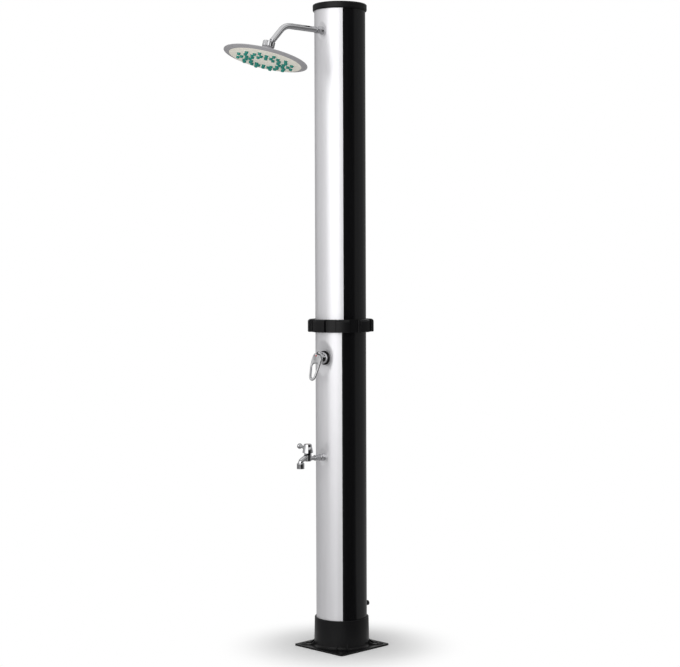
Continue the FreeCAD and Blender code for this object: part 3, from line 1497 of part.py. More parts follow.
def all_pieces():
    """Every node of the post by name."""
    lower_tank, lower_panel = lower_pipe()
    upper_tank, upper_panel = upper_pipe()
    return {
        "foot_socket": foot(),
        "bottom_plug": plug(plate_thickness + bottom_plug_height, True),
        "lower_tank": lower_tank,
        "lower_front_panel": lower_panel,
        "lower_union_ring": lower_union_ring(),
        "union_seal": union_seal(),
        "upper_union_ring": upper_union_ring(),
        "collar_nut": collar_nut(),
        "upper_tank": upper_tank,
        "upper_front_panel": upper_panel,
        "top_plug": top_plug(),
        "top_cap": top_cap(),
        "hose_inlet": hose_inlet(),
        "inlet_seal": inlet_seal(),
        "inlet_outer_gasket": saddle(tail_radius + glue_gap, pipe_radius - 5.0, inlet_seat, True),
        "inlet_inner_gasket": saddle(tail_radius + glue_gap, inlet_inner_seat - gasket_thickness,
                                     pipe_radius, False),
        "wall_lock_nuts": wall_lock_nuts(),
        "wall_gaskets": wall_gaskets(),
        "check_valve": check_valve(),
        "feed_pipe": feed_pipe(),
        "supply_elbow": supply_elbow(),
        "cold_pipes": cold_pipes(),
        "tap_tee": pipe_block(tap_height, True, True),
        "hot_pipes": hot_pipes(),
        "riser_pipes": riser_pipes(),
        "pipe_couplers": pipe_couplers(),
        "mixer_body": mixer_body(),
        "mixer_gasket": mixer_gasket(),
        "mixer_ring": mixer_ring(),
        "mixer_cartridge": cartridge(),
        "mixer_cap": mixer_cap(),
        "mixer_spindle": mixer_spindle(),
        "lever_pin": lever_pin(),
        "lever_stem": lever_stem(),
        "mixer_lever": mixer_lever(),
        "lever_index": lever_index(),
        "lever_screw": lever_screw(),
        "arm_elbow": pipe_block(arm_height, False, True),
        "arm_flange": arm_flange(),
        "arm_nut": arm_nut(),
        "shower_arm": shower_arm(),
        "ball_stud": ball_stud(),
        "swivel_ring": swivel_ring(),
        "seat_washer": seat_washer(),
        "swivel_nut": swivel_nut(),
        "head_shell": head_shell(),
        "face_plate": face_plate(),
        "nozzle_mat": nozzle_mat(),
        "tap_flange": tap_flange(),
        "tap_body": tap_body(),
        "tap_outlet": tap_outlet(),
        "tap_aerator": tap_aerator(),
        "tap_bonnet": tap_bonnet(),
        "tap_fixed_disc": valve_disc(tap_seat_level, disc_meeting - turn_gap, -1),
        "tap_moving_disc": valve_disc(disc_meeting, disc_meeting + disc_thickness, 1),
        "tap_spindle": tap_spindle(),
        "tap_handle": tap_handle(),
        "tap_index": tap_index(),
    }


def main():
    os.makedirs("parts", exist_ok=True)
    pieces = all_pieces()
    for name, shape in pieces.items():
        shape.exportStep("parts/" + name + ".step")
        print(name, len(shape.Solids), round(shape.Volume, 1), shape.isValid())


main()
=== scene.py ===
import json
import math

import bmesh
import bpy
from bpy.props import FloatProperty, FloatVectorProperty, IntProperty, PointerProperty
from mathutils import Matrix, Vector


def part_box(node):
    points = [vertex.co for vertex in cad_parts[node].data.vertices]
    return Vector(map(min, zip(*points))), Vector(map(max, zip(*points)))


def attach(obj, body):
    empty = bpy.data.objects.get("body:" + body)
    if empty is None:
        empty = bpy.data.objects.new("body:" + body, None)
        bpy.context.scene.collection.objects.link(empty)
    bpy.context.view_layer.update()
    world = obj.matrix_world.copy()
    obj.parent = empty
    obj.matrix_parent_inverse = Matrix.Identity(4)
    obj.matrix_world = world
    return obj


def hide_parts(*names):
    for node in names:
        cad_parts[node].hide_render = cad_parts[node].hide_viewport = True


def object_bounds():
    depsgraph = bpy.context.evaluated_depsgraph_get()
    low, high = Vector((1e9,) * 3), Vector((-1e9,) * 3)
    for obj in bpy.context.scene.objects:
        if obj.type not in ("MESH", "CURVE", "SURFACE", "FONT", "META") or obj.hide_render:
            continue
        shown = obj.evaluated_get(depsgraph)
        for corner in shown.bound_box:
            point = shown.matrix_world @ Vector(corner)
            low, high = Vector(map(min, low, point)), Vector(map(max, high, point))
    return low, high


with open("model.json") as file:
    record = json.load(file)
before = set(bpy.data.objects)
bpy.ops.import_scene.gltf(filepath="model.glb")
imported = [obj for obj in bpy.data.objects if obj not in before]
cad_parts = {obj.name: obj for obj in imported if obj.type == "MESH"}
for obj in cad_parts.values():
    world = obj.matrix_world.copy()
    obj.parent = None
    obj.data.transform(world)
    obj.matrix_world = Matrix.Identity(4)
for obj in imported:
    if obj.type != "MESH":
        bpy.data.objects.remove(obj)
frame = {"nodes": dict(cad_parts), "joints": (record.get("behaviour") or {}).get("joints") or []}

bl_info = {
    "name": "Outdoor shower post",
    "version": (1, 0, 0),
    "blender": (4, 5, 0),
    "location": "View3D > Sidebar > Shower",
    "description": "Finishes, small trim and studio for an outdoor shower post",
    "category": "Object",
}

CAD_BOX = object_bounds()


# ---------------------------------------------------------------- settings
def colour(name, description, default):
    return FloatVectorProperty(name=name, description=description, subtype="COLOR",
                               size=3, min=0.0, max=1.0, default=default)


def length(name, description, default):
    return FloatProperty(name=name, description=description, unit="LENGTH", min=0.0, default=default)


def share(name, description, default):
    return FloatProperty(name=name, description=description, subtype="FACTOR",
                         min=0.0, max=1.0, default=default)


def angle(name, description, degrees):
    return FloatProperty(name=name, description=description, unit="ROTATION",
                         default=math.radians(degrees))


def power(name, description, default):
    return FloatProperty(name=name, description=description, min=0.0, default=default)


def lengths(name, description, default):
    return FloatVectorProperty(name=name, description=description, unit="LENGTH",
                               size=len(default), default=default)


class PostFinish(bpy.types.PropertyGroup):
    """Colours and surface of the pipes, panels and black mouldings."""
    silver: colour("Silver panel", "Lacquer of the two front panels", (0.735, 0.73, 0.75))
    silver_roughness: share("Silver roughness", "Roughness of the lacquer", 0.40)
    black_pipe: colour("Black pipe", "Colour of the two pipe lengths", (0.004, 0.004, 0.0045))
    black_roughness: share("Black roughness", "Roughness of the black pipe", 0.16)
    moulding: colour("Mouldings", "Colour of foot, collar nut and cap", (0.005, 0.005, 0.0055))
    grain_size: length("Grain size", "Width of the moulded grain", 0.0011)


class FittingFinish(bpy.types.PropertyGroup):
    """Colours of the metal fittings and of what is hidden inside."""
    chrome: colour("Chrome", "Tint of the plated fittings", (0.52, 0.52, 0.53))
    chrome_roughness: share("Chrome roughness", "Roughness of the plating", 0.10)
    brass: colour("Brass", "Colour of the unplated fittings", (0.62, 0.45, 0.19))
    steel: colour("Steel", "Colour of pin, stem and screen", (0.55, 0.55, 0.56))
    blackened: colour("Blackened steel", "Colour of the set screw", (0.03, 0.03, 0.033))
    rubber: colour("Rubber", "Colour of gaskets and seals", (0.018, 0.018, 0.018))
    white: colour("White plastic", "Colour of the inner pipes and inserts", (0.72, 0.72, 0.69))
    mark: colour("Mark", "Colour of the lever's mark and the tap's button", (0.45, 0.012, 0.012))


class HeadFinish(bpy.types.PropertyGroup):
    """Colours and jets of the shower head."""
    face: colour("Face", "Colour of the round face", (0.90, 0.86, 0.76))
    rim: colour("Rim", "Colour of the head's back and rim", (0.36, 0.355, 0.37))
    nozzle: colour("Nozzles", "Colour of the soft nozzles", (0.004, 0.250, 0.200))
    face_dome: length("Face dome", "How far the middle of the face stands out", 0.005)
    nozzle_ring: length("Outer ring", "Radius of the outermost ring of nozzles", 0.0842)
    nozzle_pitch: length("Ring pitch", "Distance between the rings of nozzles", 0.0130)
    nozzle_rings: IntProperty(name="Rings", description="Rings of nozzles", default=4)
    nozzles_each: IntProperty(name="Nozzles each", description="Nozzles in each ring", default=12)
    nozzle_start: angle("First nozzle", "Where the first nozzle stands in its ring", 6.5)
    nozzle_root: length("Nozzle root", "Radius of a nozzle at the face", 0.0057)
    nozzle_tip: length("Nozzle tip", "Radius of a nozzle at its end", 0.0049)
    nozzle_length: length("Nozzle length", "How far a nozzle stands out", 0.0066)
    jet_radius: length("Jet radius", "Radius of the hole in each nozzle", 0.0012)
    jet_depth: length("Jet depth", "Depth of the hole in each nozzle", 0.0018)


class LeverShape(bpy.types.PropertyGroup):
    """Sizes of the mixer's loop lever, measured from its pivot."""
    lean: angle("Lean", "How far the lever leans away from the post", 19.0)
    reach: length("Reach", "From the pivot to the middle of the lever's thickness", 0.0215)
    thickness: length("Thickness", "Thickness of the loop", 0.0064)
    dome_radius: length("Dome radius", "Radius of the dome over the cap", 0.0280)
    dome_blend: length("Dome blend", "How softly the dome runs out into the loop", 0.0015)
    recess_radius: length("Recess radius", "Radius of the hollow that clears the cap", 0.0193)
    skirt_radius: length("Skirt radius", "How far out the hollow reaches", 0.0156)
    skirt_fade: length("Skirt fade", "Where the skirt has run out into the loop", 0.0240)
    top: length("Top", "From the pivot's level to the lever's top", 0.0140)
    shoulder: length("Shoulder", "Half the lever's width at its shoulders", 0.0200)
    reach_down: length("Length", "From the pivot's level to the lever's lower end", 0.0800)
    bar: length("Bar", "Width of the loop's side bars", 0.0068)
    slot_top: length("Slot top", "From the pivot's level to the top of the slot", 0.0250)
    slot_end: length("Slot end", "From the slot to the lever's lower end", 0.0092)
    screw_turn: angle("Screw turn", "How far the set screw points to the right", 45.0)
    screw_rise: angle("Screw rise", "How far the set screw points upwards", 15.0)


class TapFinish(bpy.types.PropertyGroup):
    """Screen under the foot tap's outlet."""
    screen_pitch: length("Screen pitch", "Distance between the screen's wires", 0.0016)
    screen_wire: length("Screen wire", "Thickness of the screen's wires", 0.00045)


class Studio(bpy.types.PropertyGroup):
    """Camera, floor and lamps."""
    camera_angle: angle("Camera angle", "Angle of the camera round the post, from its front", 45.0)
    camera_distance: length("Camera distance", "Distance of the camera from the post's axis", 5.115)
    camera_height: length("Camera height", "Height of the camera over the floor", 1.212)
    camera_pitch: angle("Camera pitch", "How far the camera looks down", 1.77)
    camera_roll: angle("Camera roll", "Lean of the camera", -0.19)
    focal_length: FloatProperty(name="Focal length", description="Lens on a 36 mm wide sensor",
                                min=10.0, default=85.91)
    shift_x: FloatProperty(name="Shift across", description="Lens shift across", default=-0.00103)
    shift_y: FloatProperty(name="Shift up", description="Lens shift upwards", default=-0.030)
    floor: colour("Floor", "Colour of the floor", (0.86, 0.86, 0.86))
    floor_radius: length("Floor radius", "Radius of the round floor", 9.0)
    shadow_core: length("Shadow core", "Radius within which the floor shows its shadow in full", 0.10)
    clear_radius: length("Shadow radius", "Radius past which the floor shows no shadow", 0.42)
    disc_radius: length("White disc", "Radius of the floor that the fittings mirror as white", 0.30)
    carpet_level: share("Carpet", "Brightness of the floor that the fittings mirror further out", 0.42)
    lamp_distance: length("Lamp distance", "From the post's axis to the key and fill softboxes", 4.2)
    lamp_aim: length("Lamp aim", "Height at which the key and fill softboxes point", 1.05)
    key_angle: angle("Key angle", "Where the key softbox stands, from the front", 20.0)
    key_height: length("Key height", "Height of the key softbox", 1.9)
    key_size: lengths("Key size", "Width and height of the key softbox", (4.4, 3.4))
    key_power: power("Key lamp", "Power of the key softbox in watts", 72.0)
    fill_angle: angle("Fill angle", "Where the fill softbox stands, from the front", -70.0)
    fill_height: length("Fill height", "Height of the fill softbox", 1.4)
    fill_size: lengths("Fill size", "Width and height of the fill softbox", (1.6, 2.6))
    fill_power: power("Fill lamp", "Power of the fill softbox in watts", 3.0)
    top_place: lengths("Top place", "Place of the overhead softbox", (0.3, -0.3, 4.4))
    top_size: lengths("Top size", "Width and depth of the overhead softbox", (4.8, 4.8))
    top_power: power("Top lamp", "Power of the overhead softbox in watts", 45.0)
    surround: share("Surround", "Light that comes from all round", 0.55)
    front_level: share("Front screens", "Brightness of the white screens in front", 1.0)
    side_level: share("Side screens", "Brightness of the grey screens at the sides", 0.24)
    dark_level: share("Dark screens", "Brightness of the black screens and of the dark band", 0.02)
    upper_level: share("Upper screens", "Brightness of the screens over the others", 0.95)
    ceiling_level: share("Ceiling", "Brightness of the studio's ceiling", 0.50)
    upper_start: share("Upper screens start", "Rise of a ray that meets the upper screens", 0.28)
    band_start: share("Dark band start", "Rise of a ray that meets the dark band over them", 0.56)
    ceiling_start: share("Ceiling start", "Rise of a ray that meets the ceiling", 0.72)
    front_start: angle("White screens start", "Where the screens are half as white as in front", -50.0)
    front_softness: angle("White screens' fade", "Half the angle over which the screens turn white", 35.0)
    shade_start: angle("Dark screens start", "Where the dark screens begin, from the front", 54.0)
    shade_end: angle("Dark screens end", "Where the dark screens end, from the front", 112.0)


GROUPS = (("post_finish", PostFinish), ("fitting_finish", FittingFinish), ("head_finish", HeadFinish),
          ("lever_shape", LeverShape), ("tap_finish", TapFinish), ("studio", Studio))


# ---------------------------------------------------------------- node helpers
class Tree:
    """Short way to add and join shader nodes."""

    def __init__(self, tree):
        self.tree = tree

    def fill(self, node, values):
        """Joins a node's inputs to sockets, or sets them to constants."""
        for key, value in values.items():
            if isinstance(value, bpy.types.NodeSocket):
                self.tree.links.new(value, node.inputs[key])
            else:
                node.inputs[key].default_value = value
        return node

    def add(self, kind, values=None, **settings):
        node = self.tree.nodes.new(kind)
        for key, value in settings.items():
            setattr(node, key, value)
        return self.fill(node, values or {})

    def math(self, operation, first, second=0.0, clamp=False):
        return self.add("ShaderNodeMath", {0: first, 1: second}, operation=operation,
                        use_clamp=clamp).outputs[0]

    def between(self, value, low, high, to_low=0.0, to_high=1.0):
        return self.add("ShaderNodeMapRange", {"Value": value, "From Min": low, "From Max": high,
                                               "To Min": to_low, "To Max": to_high}).outputs["Result"]

    def blend(self, factor, first, second):
        """Mix of two colours: sockets 0, 6 and 7 are its factor, first and second colour."""
        return self.add("ShaderNodeMix", {0: factor, 6: first, 7: second}, data_type="RGBA").outputs[2]


def open_group(name, inputs, outputs):
    """New node group with float inputs and outputs; returns the group and its helper."""
    group = bpy.data.node_groups.new(name, "ShaderNodeTree")
    for label, default in inputs:
        socket = group.interface.new_socket(label, in_out="INPUT", socket_type="NodeSocketFloat")
        socket.default_value = default
    for label in outputs:
        group.interface.new_socket(label, in_out="OUTPUT", socket_type="NodeSocketFloat")
    tree = Tree(group)
    return group, tree, tree.add("NodeGroupInput"), tree.add("NodeGroupOutput")


def grain_group():
    """Fine moulded grain: a height for a bump and a shade that varies with it."""
    name = "Moulded grain"
    if name in bpy.data.node_groups:
        return bpy.data.node_groups[name]
    group, tree, start, end = open_group(name, [("Grain Size", 0.001)], ["Height", "Shade"])
    where = tree.add("ShaderNodeTexCoord").outputs["Object"]
    scale = tree.math("DIVIDE", 1.0, start.outputs["Grain Size"])
    fine = tree.add("ShaderNodeTexNoise", {"Vector": where, "Scale": scale, "Detail": 3.0,
                                           "Roughness": 0.6})
    cells = tree.add("ShaderNodeTexVoronoi", {"Vector": where, "Scale": scale})
    broad = tree.add("ShaderNodeTexNoise", {"Vector": where, "Scale": 9.0, "Detail": 2.0})
    height = tree.math("ADD", tree.math("MULTIPLY", fine.outputs[0], 0.6),
                       tree.math("MULTIPLY", cells.outputs["Distance"], 0.4))
    shade = tree.between(tree.math("ADD", fine.outputs[0], broad.outputs[0]), 0.7, 1.3)
    tree.fill(end, {"Height": height, "Shade": shade})
    return group


def marks_group():
    """Soft wipe marks and dried water spots, for a roughness that isn't even."""
    name = "Water marks"
    if name in bpy.data.node_groups:
        return bpy.data.node_groups[name]
    group, tree, start, end = open_group(name, [("Spot Size", 0.006), ("Amount", 0.5)],
                                         ["Marks", "Streaks"])
    where = tree.add("ShaderNodeTexCoord").outputs["Object"]
    long = tree.add("ShaderNodeMapping", {"Vector": where, "Scale": (60.0, 60.0, 1.6)})
    streak = tree.add("ShaderNodeTexNoise", {"Vector": long.outputs[0], "Scale": 1.0, "Detail": 3.0})
    scale = tree.math("DIVIDE", 1.0, start.outputs["Spot Size"])
    spots = tree.add("ShaderNodeTexVoronoi", {"Vector": where, "Scale": scale}, feature="SMOOTH_F1")
    cloud = tree.add("ShaderNodeTexNoise", {"Vector": where, "Scale": 14.0, "Detail": 3.0})
    ring = tree.between(spots.outputs["Distance"], 0.16, 0.05)
    patch = tree.between(cloud.outputs[0], 0.52, 0.68)
    marks = tree.math("MULTIPLY", tree.math("MULTIPLY", ring, patch), start.outputs["Amount"])
    tree.fill(end, {"Marks": marks, "Streaks": tree.between(streak.outputs[0], 0.3, 0.7)})
    return group


def scaled(rgb, factor):
    return tuple(min(1.0, part * factor) for part in rgb) + (1.0,)


def finished(name, rgb, settings, roughness, spread, swing, amount, dulling, grain_size, bump,
             streaked=False):
    """New material with a varied shade and roughness, water marks and a bump.

    Shade and roughness vary by the shares spread and swing, after the streaks or else after the grain.
    Amount says how strong the water marks are, dulling how much rougher they make the surface, and bump
    is the strength and the distance of the grain's bump.
    """
    material = bpy.data.materials.new(name)
    material.use_nodes = True
    tree = Tree(material.node_tree)
    marks = tree.add("ShaderNodeGroup", {"Amount": amount}, node_tree=marks_group())
    grain = tree.add("ShaderNodeGroup", {"Grain Size": grain_size}, node_tree=grain_group())
    pattern = marks.outputs["Streaks"] if streaked else grain.outputs["Shade"]
    shade = tree.blend(pattern, scaled(rgb, 1.0 - spread), scaled(rgb, 1.0 + spread))
    even = tree.between(pattern, 0.0, 1.0, roughness * (1.0 - swing), roughness * (1.0 + swing))
    rough = tree.math("ADD", even, tree.math("MULTIPLY", marks.outputs["Marks"], dulling))
    strength, distance = bump
    skin = tree.add("ShaderNodeBump", {"Strength": strength, "Distance": distance,
                                       "Height": grain.outputs["Height"]})
    surface = material.node_tree.nodes["Principled BSDF"]
    tree.fill(surface, {**settings, "Base Color": shade, "Roughness": rough, "Normal": skin.outputs[0]})
    return material


def lacquer(name, rgb, roughness, metallic, streak):
    """Smooth sprayed or extruded skin with faint streaks along the post."""
    return finished(name, rgb, {"Metallic": metallic, "IOR": 1.46}, roughness, spread=streak, swing=0.08,
                    amount=0.35, dulling=0.12, grain_size=0.0004, bump=(0.05, 0.0002), streaked=True)


def moulded(name, rgb, roughness, grain_size, depth=0.25, spread=0.18, mirror=0.5):
    """Moulded plastic or rubber with a fine grain."""
    return finished(name, rgb, {"IOR": 1.48, "Specular IOR Level": mirror}, roughness, spread=spread,
                    swing=0.10, amount=0.6, dulling=0.15, grain_size=grain_size,
                    bump=(depth, grain_size * 0.35))


def metal(name, rgb, roughness, spread=0.05, turning=0.0):
    """Plated, turned or ground metal, with water marks that dull it in places."""
    return finished(name, rgb, {"Metallic": 1.0}, roughness, spread=spread, swing=0.15, amount=0.8,
                    dulling=0.16, grain_size=0.0009, bump=(0.04 + turning, 0.0002))


def dress(material, *names):
    """Gives a material to parts of the frame."""
    for name in names:
        data = frame["nodes"][name].data
        data.materials.clear()
        data.materials.append(material)


# ---------------------------------------------------------------- mesh helpers
def add_mesh(name, mesh, material, body):
    """Object from a bmesh that moves with a body."""
    data = bpy.data.meshes.new(name)
    bmesh.ops.recalc_face_normals(mesh, faces=mesh.faces[:])
    mesh.to_mesh(data)
    mesh.free()
    data.materials.append(material)
    for face in data.polygons:
        face.use_smooth = True
    piece = bpy.data.objects.new(name, data)
    bpy.context.scene.collection.objects.link(piece)
    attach(piece, body)
    return piece


def turned(mesh, base, profile, sides):
    """Skin turned round the base's Z axis from points (radius, height)."""
    rings = []
    for reach, height in profile:
        if reach == 0.0:
            rings.append([mesh.verts.new(base @ Vector((0, 0, height)))])
            continue
        spins = (2 * math.pi * k / sides for k in range(sides))
        rings.append([mesh.verts.new(base @ Vector((reach * math.cos(a), reach * math.sin(a), height)))
                      for a in spins])
    for low, high in zip(rings, rings[1:]):
        for k in range(sides):
            corners = [low[k % len(low)], low[(k + 1) % len(low)], high[(k + 1) % len(high)],
                       high[k % len(high)]]
            mesh.faces.new(list(dict.fromkeys(corners)))


def cut_with(mesh, cutter):
    """Takes one closed bmesh away from another; frees the second."""
    objects = []
    for label, part in (("whole", mesh), ("cutter", cutter)):
        bmesh.ops.recalc_face_normals(part, faces=part.faces[:])
        data = bpy.data.meshes.new(label)
        part.to_mesh(data)
        objects.append(bpy.data.objects.new(label, data))
        bpy.context.scene.collection.objects.link(objects[-1])
    cutter.free()
    change = objects[0].modifiers.new("Cut", "BOOLEAN")
    change.object = objects[1]
    change.operation = "DIFFERENCE"
    done = objects[0].evaluated_get(bpy.context.evaluated_depsgraph_get())
    mesh.clear()
    mesh.from_mesh(done.data)
    for item in objects:
        data = item.data
        bpy.data.objects.remove(item)
        bpy.data.meshes.remove(data)


def tube_along(mesh, points, radius, sides):
    """Round wire with closed ends along a line of points."""
    rings = []
    for i, point in enumerate(points):
        before = points[max(i - 1, 0)]
        after = points[min(i + 1, len(points) - 1)]
        along = (after - before).normalized()
        side = along.orthogonal().normalized()
        up = along.cross(side)
        rings.append([mesh.verts.new(point + (side * math.cos(a) + up * math.sin(a)) * radius)
                      for a in (2 * math.pi * k / sides for k in range(sides))])
    for low, high in zip(rings, rings[1:]):
        for k in range(sides):
            mesh.faces.new((low[k], low[(k + 1) % sides], high[(k + 1) % sides], high[k]))
    mesh.faces.new(list(reversed(rings[0])))
    mesh.faces.new(rings[-1])


def through(points, per_run):
    """Closed smooth line through points, with a number of points for each run."""
    line = []
    count = len(points)
    for i, start in enumerate(points):
        before, end, after = points[i - 1], points[(i + 1) % count], points[(i + 2) % count]
        slope = end - before
        bend = 2 * before - 5 * start + 4 * end - after
        twist = 3 * start - before - 3 * end + after
        for k in range(per_run):
            t = k / per_run
            line.append(0.5 * (2 * start + slope * t + bend * t ** 2 + twist * t ** 3))
    return line


def smooth_step(value):
    """Soft change from 0 to 1 as the value goes from 0 to 1."""
    value = min(max(value, 0.0), 1.0)
    return value * value * (3 - 2 * value)


# ---------------------------------------------------------------- pieces
class SHOWER_OT_pipes(bpy.types.Operator):
    """Finish the two pipe lengths and their silver front panels"""
    bl_idname = "shower.pipes"
    bl_label = "Pipes and panels"

    def execute(self, context):
        finish = context.scene.post_finish
        black = lacquer("Black pipe", finish.black_pipe, finish.black_roughness, metallic=0.0, streak=0.25)
        silver = lacquer("Silver lacquer", finish.silver, finish.silver_roughness, metallic=0.6,
                         streak=0.02)
        dress(black, "lower_tank", "upper_tank")
        dress(silver, "lower_front_panel", "upper_front_panel")
        return {"FINISHED"}


class SHOWER_OT_mouldings(bpy.types.Operator):
    """Finish the foot, collar nut, cap, mixer ring, hose inlet, plugs and union rings"""
    bl_idname = "shower.mouldings"
    bl_label = "Black mouldings"

    def execute(self, context):
        finish = context.scene.post_finish
        outer = moulded("Black moulding", finish.moulding, roughness=0.34,
                        grain_size=finish.grain_size, mirror=0.18)
        dress(outer, "foot_socket", "collar_nut", "top_cap", "mixer_ring", "hose_inlet")
        inner = moulded("Black moulding inside", finish.moulding, roughness=0.6, grain_size=finish.grain_size)
        dress(inner, "bottom_plug", "top_plug", "lower_union_ring", "upper_union_ring")
        return {"FINISHED"}


class SHOWER_OT_fittings(bpy.types.Operator):
    """Finish the chromed arm, mixer and tap, their steel parts and their marks"""
    bl_idname = "shower.fittings"
    bl_label = "Chromed fittings"

    def execute(self, context):
        finish = context.scene.fitting_finish
        chrome = metal("Chrome plate", finish.chrome, finish.chrome_roughness, spread=0.03)
        dress(chrome, "mixer_cap", "mixer_lever", "arm_flange", "arm_nut", "shower_arm", "ball_stud",
              "swivel_nut", "tap_flange", "tap_body", "tap_outlet", "tap_handle", "tap_bonnet")
        steel = metal("Turned steel", finish.steel, roughness=0.28, spread=0.06, turning=0.08)
        dress(steel, "lever_pin", "lever_stem")
        blackened = metal("Blackened steel", finish.blackened, roughness=0.35, spread=0.06)
        dress(blackened, "lever_screw")
        mark = moulded("Red mark", finish.mark, roughness=0.22, grain_size=0.0006, depth=0.05,
                       spread=0.05)
        dress(mark, "lever_index", "tap_index")
        return {"FINISHED"}


class SHOWER_OT_inside(bpy.types.Operator):
    """Finish the brass, rubber, ceramic and white parts that the post hides"""
    bl_idname = "shower.inside"
    bl_label = "Inner parts"

    def execute(self, context):
        finish = context.scene.fitting_finish
        brass = metal("Turned brass", finish.brass, roughness=0.30, spread=0.08, turning=0.06)
        dress(brass, "wall_lock_nuts", "supply_elbow", "tap_tee", "arm_elbow", "mixer_body",
              "mixer_spindle", "tap_spindle")
        rubber = moulded("Black rubber", finish.rubber, roughness=0.62, grain_size=0.0008, depth=0.20,
                         spread=0.12)
        dress(rubber, "union_seal", "inlet_seal", "inlet_outer_gasket", "inlet_inner_gasket",
              "wall_gaskets", "mixer_gasket", "seat_washer")
        white = moulded("White plastic", finish.white, roughness=0.38, grain_size=0.0012, depth=0.12,
                        spread=0.03)
        dress(white, "check_valve", "feed_pipe", "cold_pipes", "hot_pipes", "riser_pipes",
              "pipe_couplers", "mixer_cartridge", "swivel_ring", "tap_aerator")
        ceramic = moulded("White ceramic", finish.white, roughness=0.12, grain_size=0.0004, depth=0.05,
                          spread=0.02)
        dress(ceramic, "tap_fixed_disc", "tap_moving_disc")
        return {"FINISHED"}


class SHOWER_OT_head(bpy.types.Operator):
    """Finish the shower head and build its domed face and soft nozzles"""
    bl_idname = "shower.head"
    bl_label = "Shower head"
    # Small sizes, in metres, of the face's edge, of a nozzle and of the raised collar round a nozzle.
    FACE_EDGE = 0.0008
    NOZZLE_SUNK = 0.0010
    NOZZLE_FLARE = 0.0004
    NOZZLE_BEVEL = 0.0009
    COLLAR_GAP = 0.0004
    COLLAR_SUNK = 0.0008
    COLLAR_HEIGHT = 0.0006
    COLLAR_WIDTH = 0.0016
    # Steps and sides of the turned skins.
    FACE_STEPS = 20
    FACE_SIDES = 120
    NOZZLE_SIDES = 24

    def execute(self, context):
        finish = context.scene.head_finish
        shell = moulded("Grey shell", finish.rim, roughness=0.34, grain_size=0.0012, depth=0.10,
                        spread=0.04)
        dress(shell, "head_shell")
        self.measure()
        self.add_face(finish)
        self.add_nozzles(finish)
        return {"FINISHED"}

    def measure(self):
        """Frame with its origin on the face and Z pointing out of it, and the face's size."""
        spin = next(j for j in frame["joints"] if j["name"] == "head_spin")
        up = Vector(spin["axis"]).normalized()
        across = up.cross(Vector((1, 0, 0))).normalized()
        level = across.cross(up)
        pivot = Vector(spin["pos_m"])
        points = [v.co - pivot for v in frame["nodes"]["face_plate"].data.vertices]
        drop = max(-p.dot(up) for p in points)
        self.thickness = drop - min(-p.dot(up) for p in points)
        self.radius = max((p - up * p.dot(up)).length for p in points)
        turn = Matrix((level, -across, -up)).transposed().to_4x4()
        self.base = Matrix.Translation(pivot - up * drop) @ turn

    def dome(self, finish, reach):
        return finish.face_dome * (1 - (reach / self.radius) ** 2)

    def seats(self, finish):
        """Places of the nozzles: rings of equal number, each turned by half a step."""
        for ring in range(finish.nozzle_rings):
            reach = finish.nozzle_ring - ring * finish.nozzle_pitch
            step = 2 * math.pi / finish.nozzles_each
            for k in range(finish.nozzles_each):
                turn = -(finish.nozzle_start + (k + ring / 2) * step)
                place = Vector((reach * math.cos(turn), reach * math.sin(turn), self.dome(finish, reach)))
                yield self.base @ Matrix.Translation(place)

    def add_face(self, finish):
        edge = self.FACE_EDGE
        inner = self.radius - edge
        reaches = [inner * k / self.FACE_STEPS for k in range(self.FACE_STEPS + 1)]
        profile = [(reach, self.dome(finish, reach)) for reach in reaches]
        profile += [(self.radius - edge * 0.3, -edge * 0.2), (self.radius, -edge),
                    (self.radius, -self.thickness), (0.0, -self.thickness)]
        mesh = bmesh.new()
        turned(mesh, self.base, profile, self.FACE_SIDES)
        lip = finish.nozzle_root + self.COLLAR_GAP
        wide, high, sunk = self.COLLAR_WIDTH, self.COLLAR_HEIGHT, self.COLLAR_SUNK
        collar = [(lip, -sunk), (lip, high / 2), (lip + high / 2, high), (lip + wide / 2, high),
                  (lip + wide * 7 / 8, high / 6), (lip + wide, -sunk)]
        for seat in self.seats(finish):
            turned(mesh, seat, collar, self.NOZZLE_SIDES)
        cream = moulded("Cream face", finish.face, roughness=0.50, grain_size=0.0009, depth=0.20,
                        spread=0.05)
        piece = add_mesh("spray_face", mesh, cream, "shower_head")
        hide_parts("face_plate")

    def add_nozzles(self, finish):
        root, tip, out = finish.nozzle_root, finish.nozzle_tip, finish.nozzle_length
        jet, depth = finish.jet_radius, finish.jet_depth
        flare, bevel = self.NOZZLE_FLARE, self.NOZZLE_BEVEL
        profile = [(root, -self.NOZZLE_SUNK), (root, flare), (root * 0.95, flare * 3), (tip, out - bevel),
                   (tip - bevel / 3, out - bevel / 3), (tip - bevel, out), (jet + flare, out),
                   (jet, out - bevel / 3), (jet * 0.9, out - depth), (0.0, out - depth)]
        mesh = bmesh.new()
        for seat in self.seats(finish):
            turned(mesh, seat, profile, self.NOZZLE_SIDES)
        rubber = moulded("Soft nozzles", finish.nozzle, roughness=0.50, grain_size=0.0012, depth=0.20,
                         spread=0.12)
        piece = add_mesh("spray_nozzles", mesh, rubber, "shower_head")
        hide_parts("nozzle_mat")


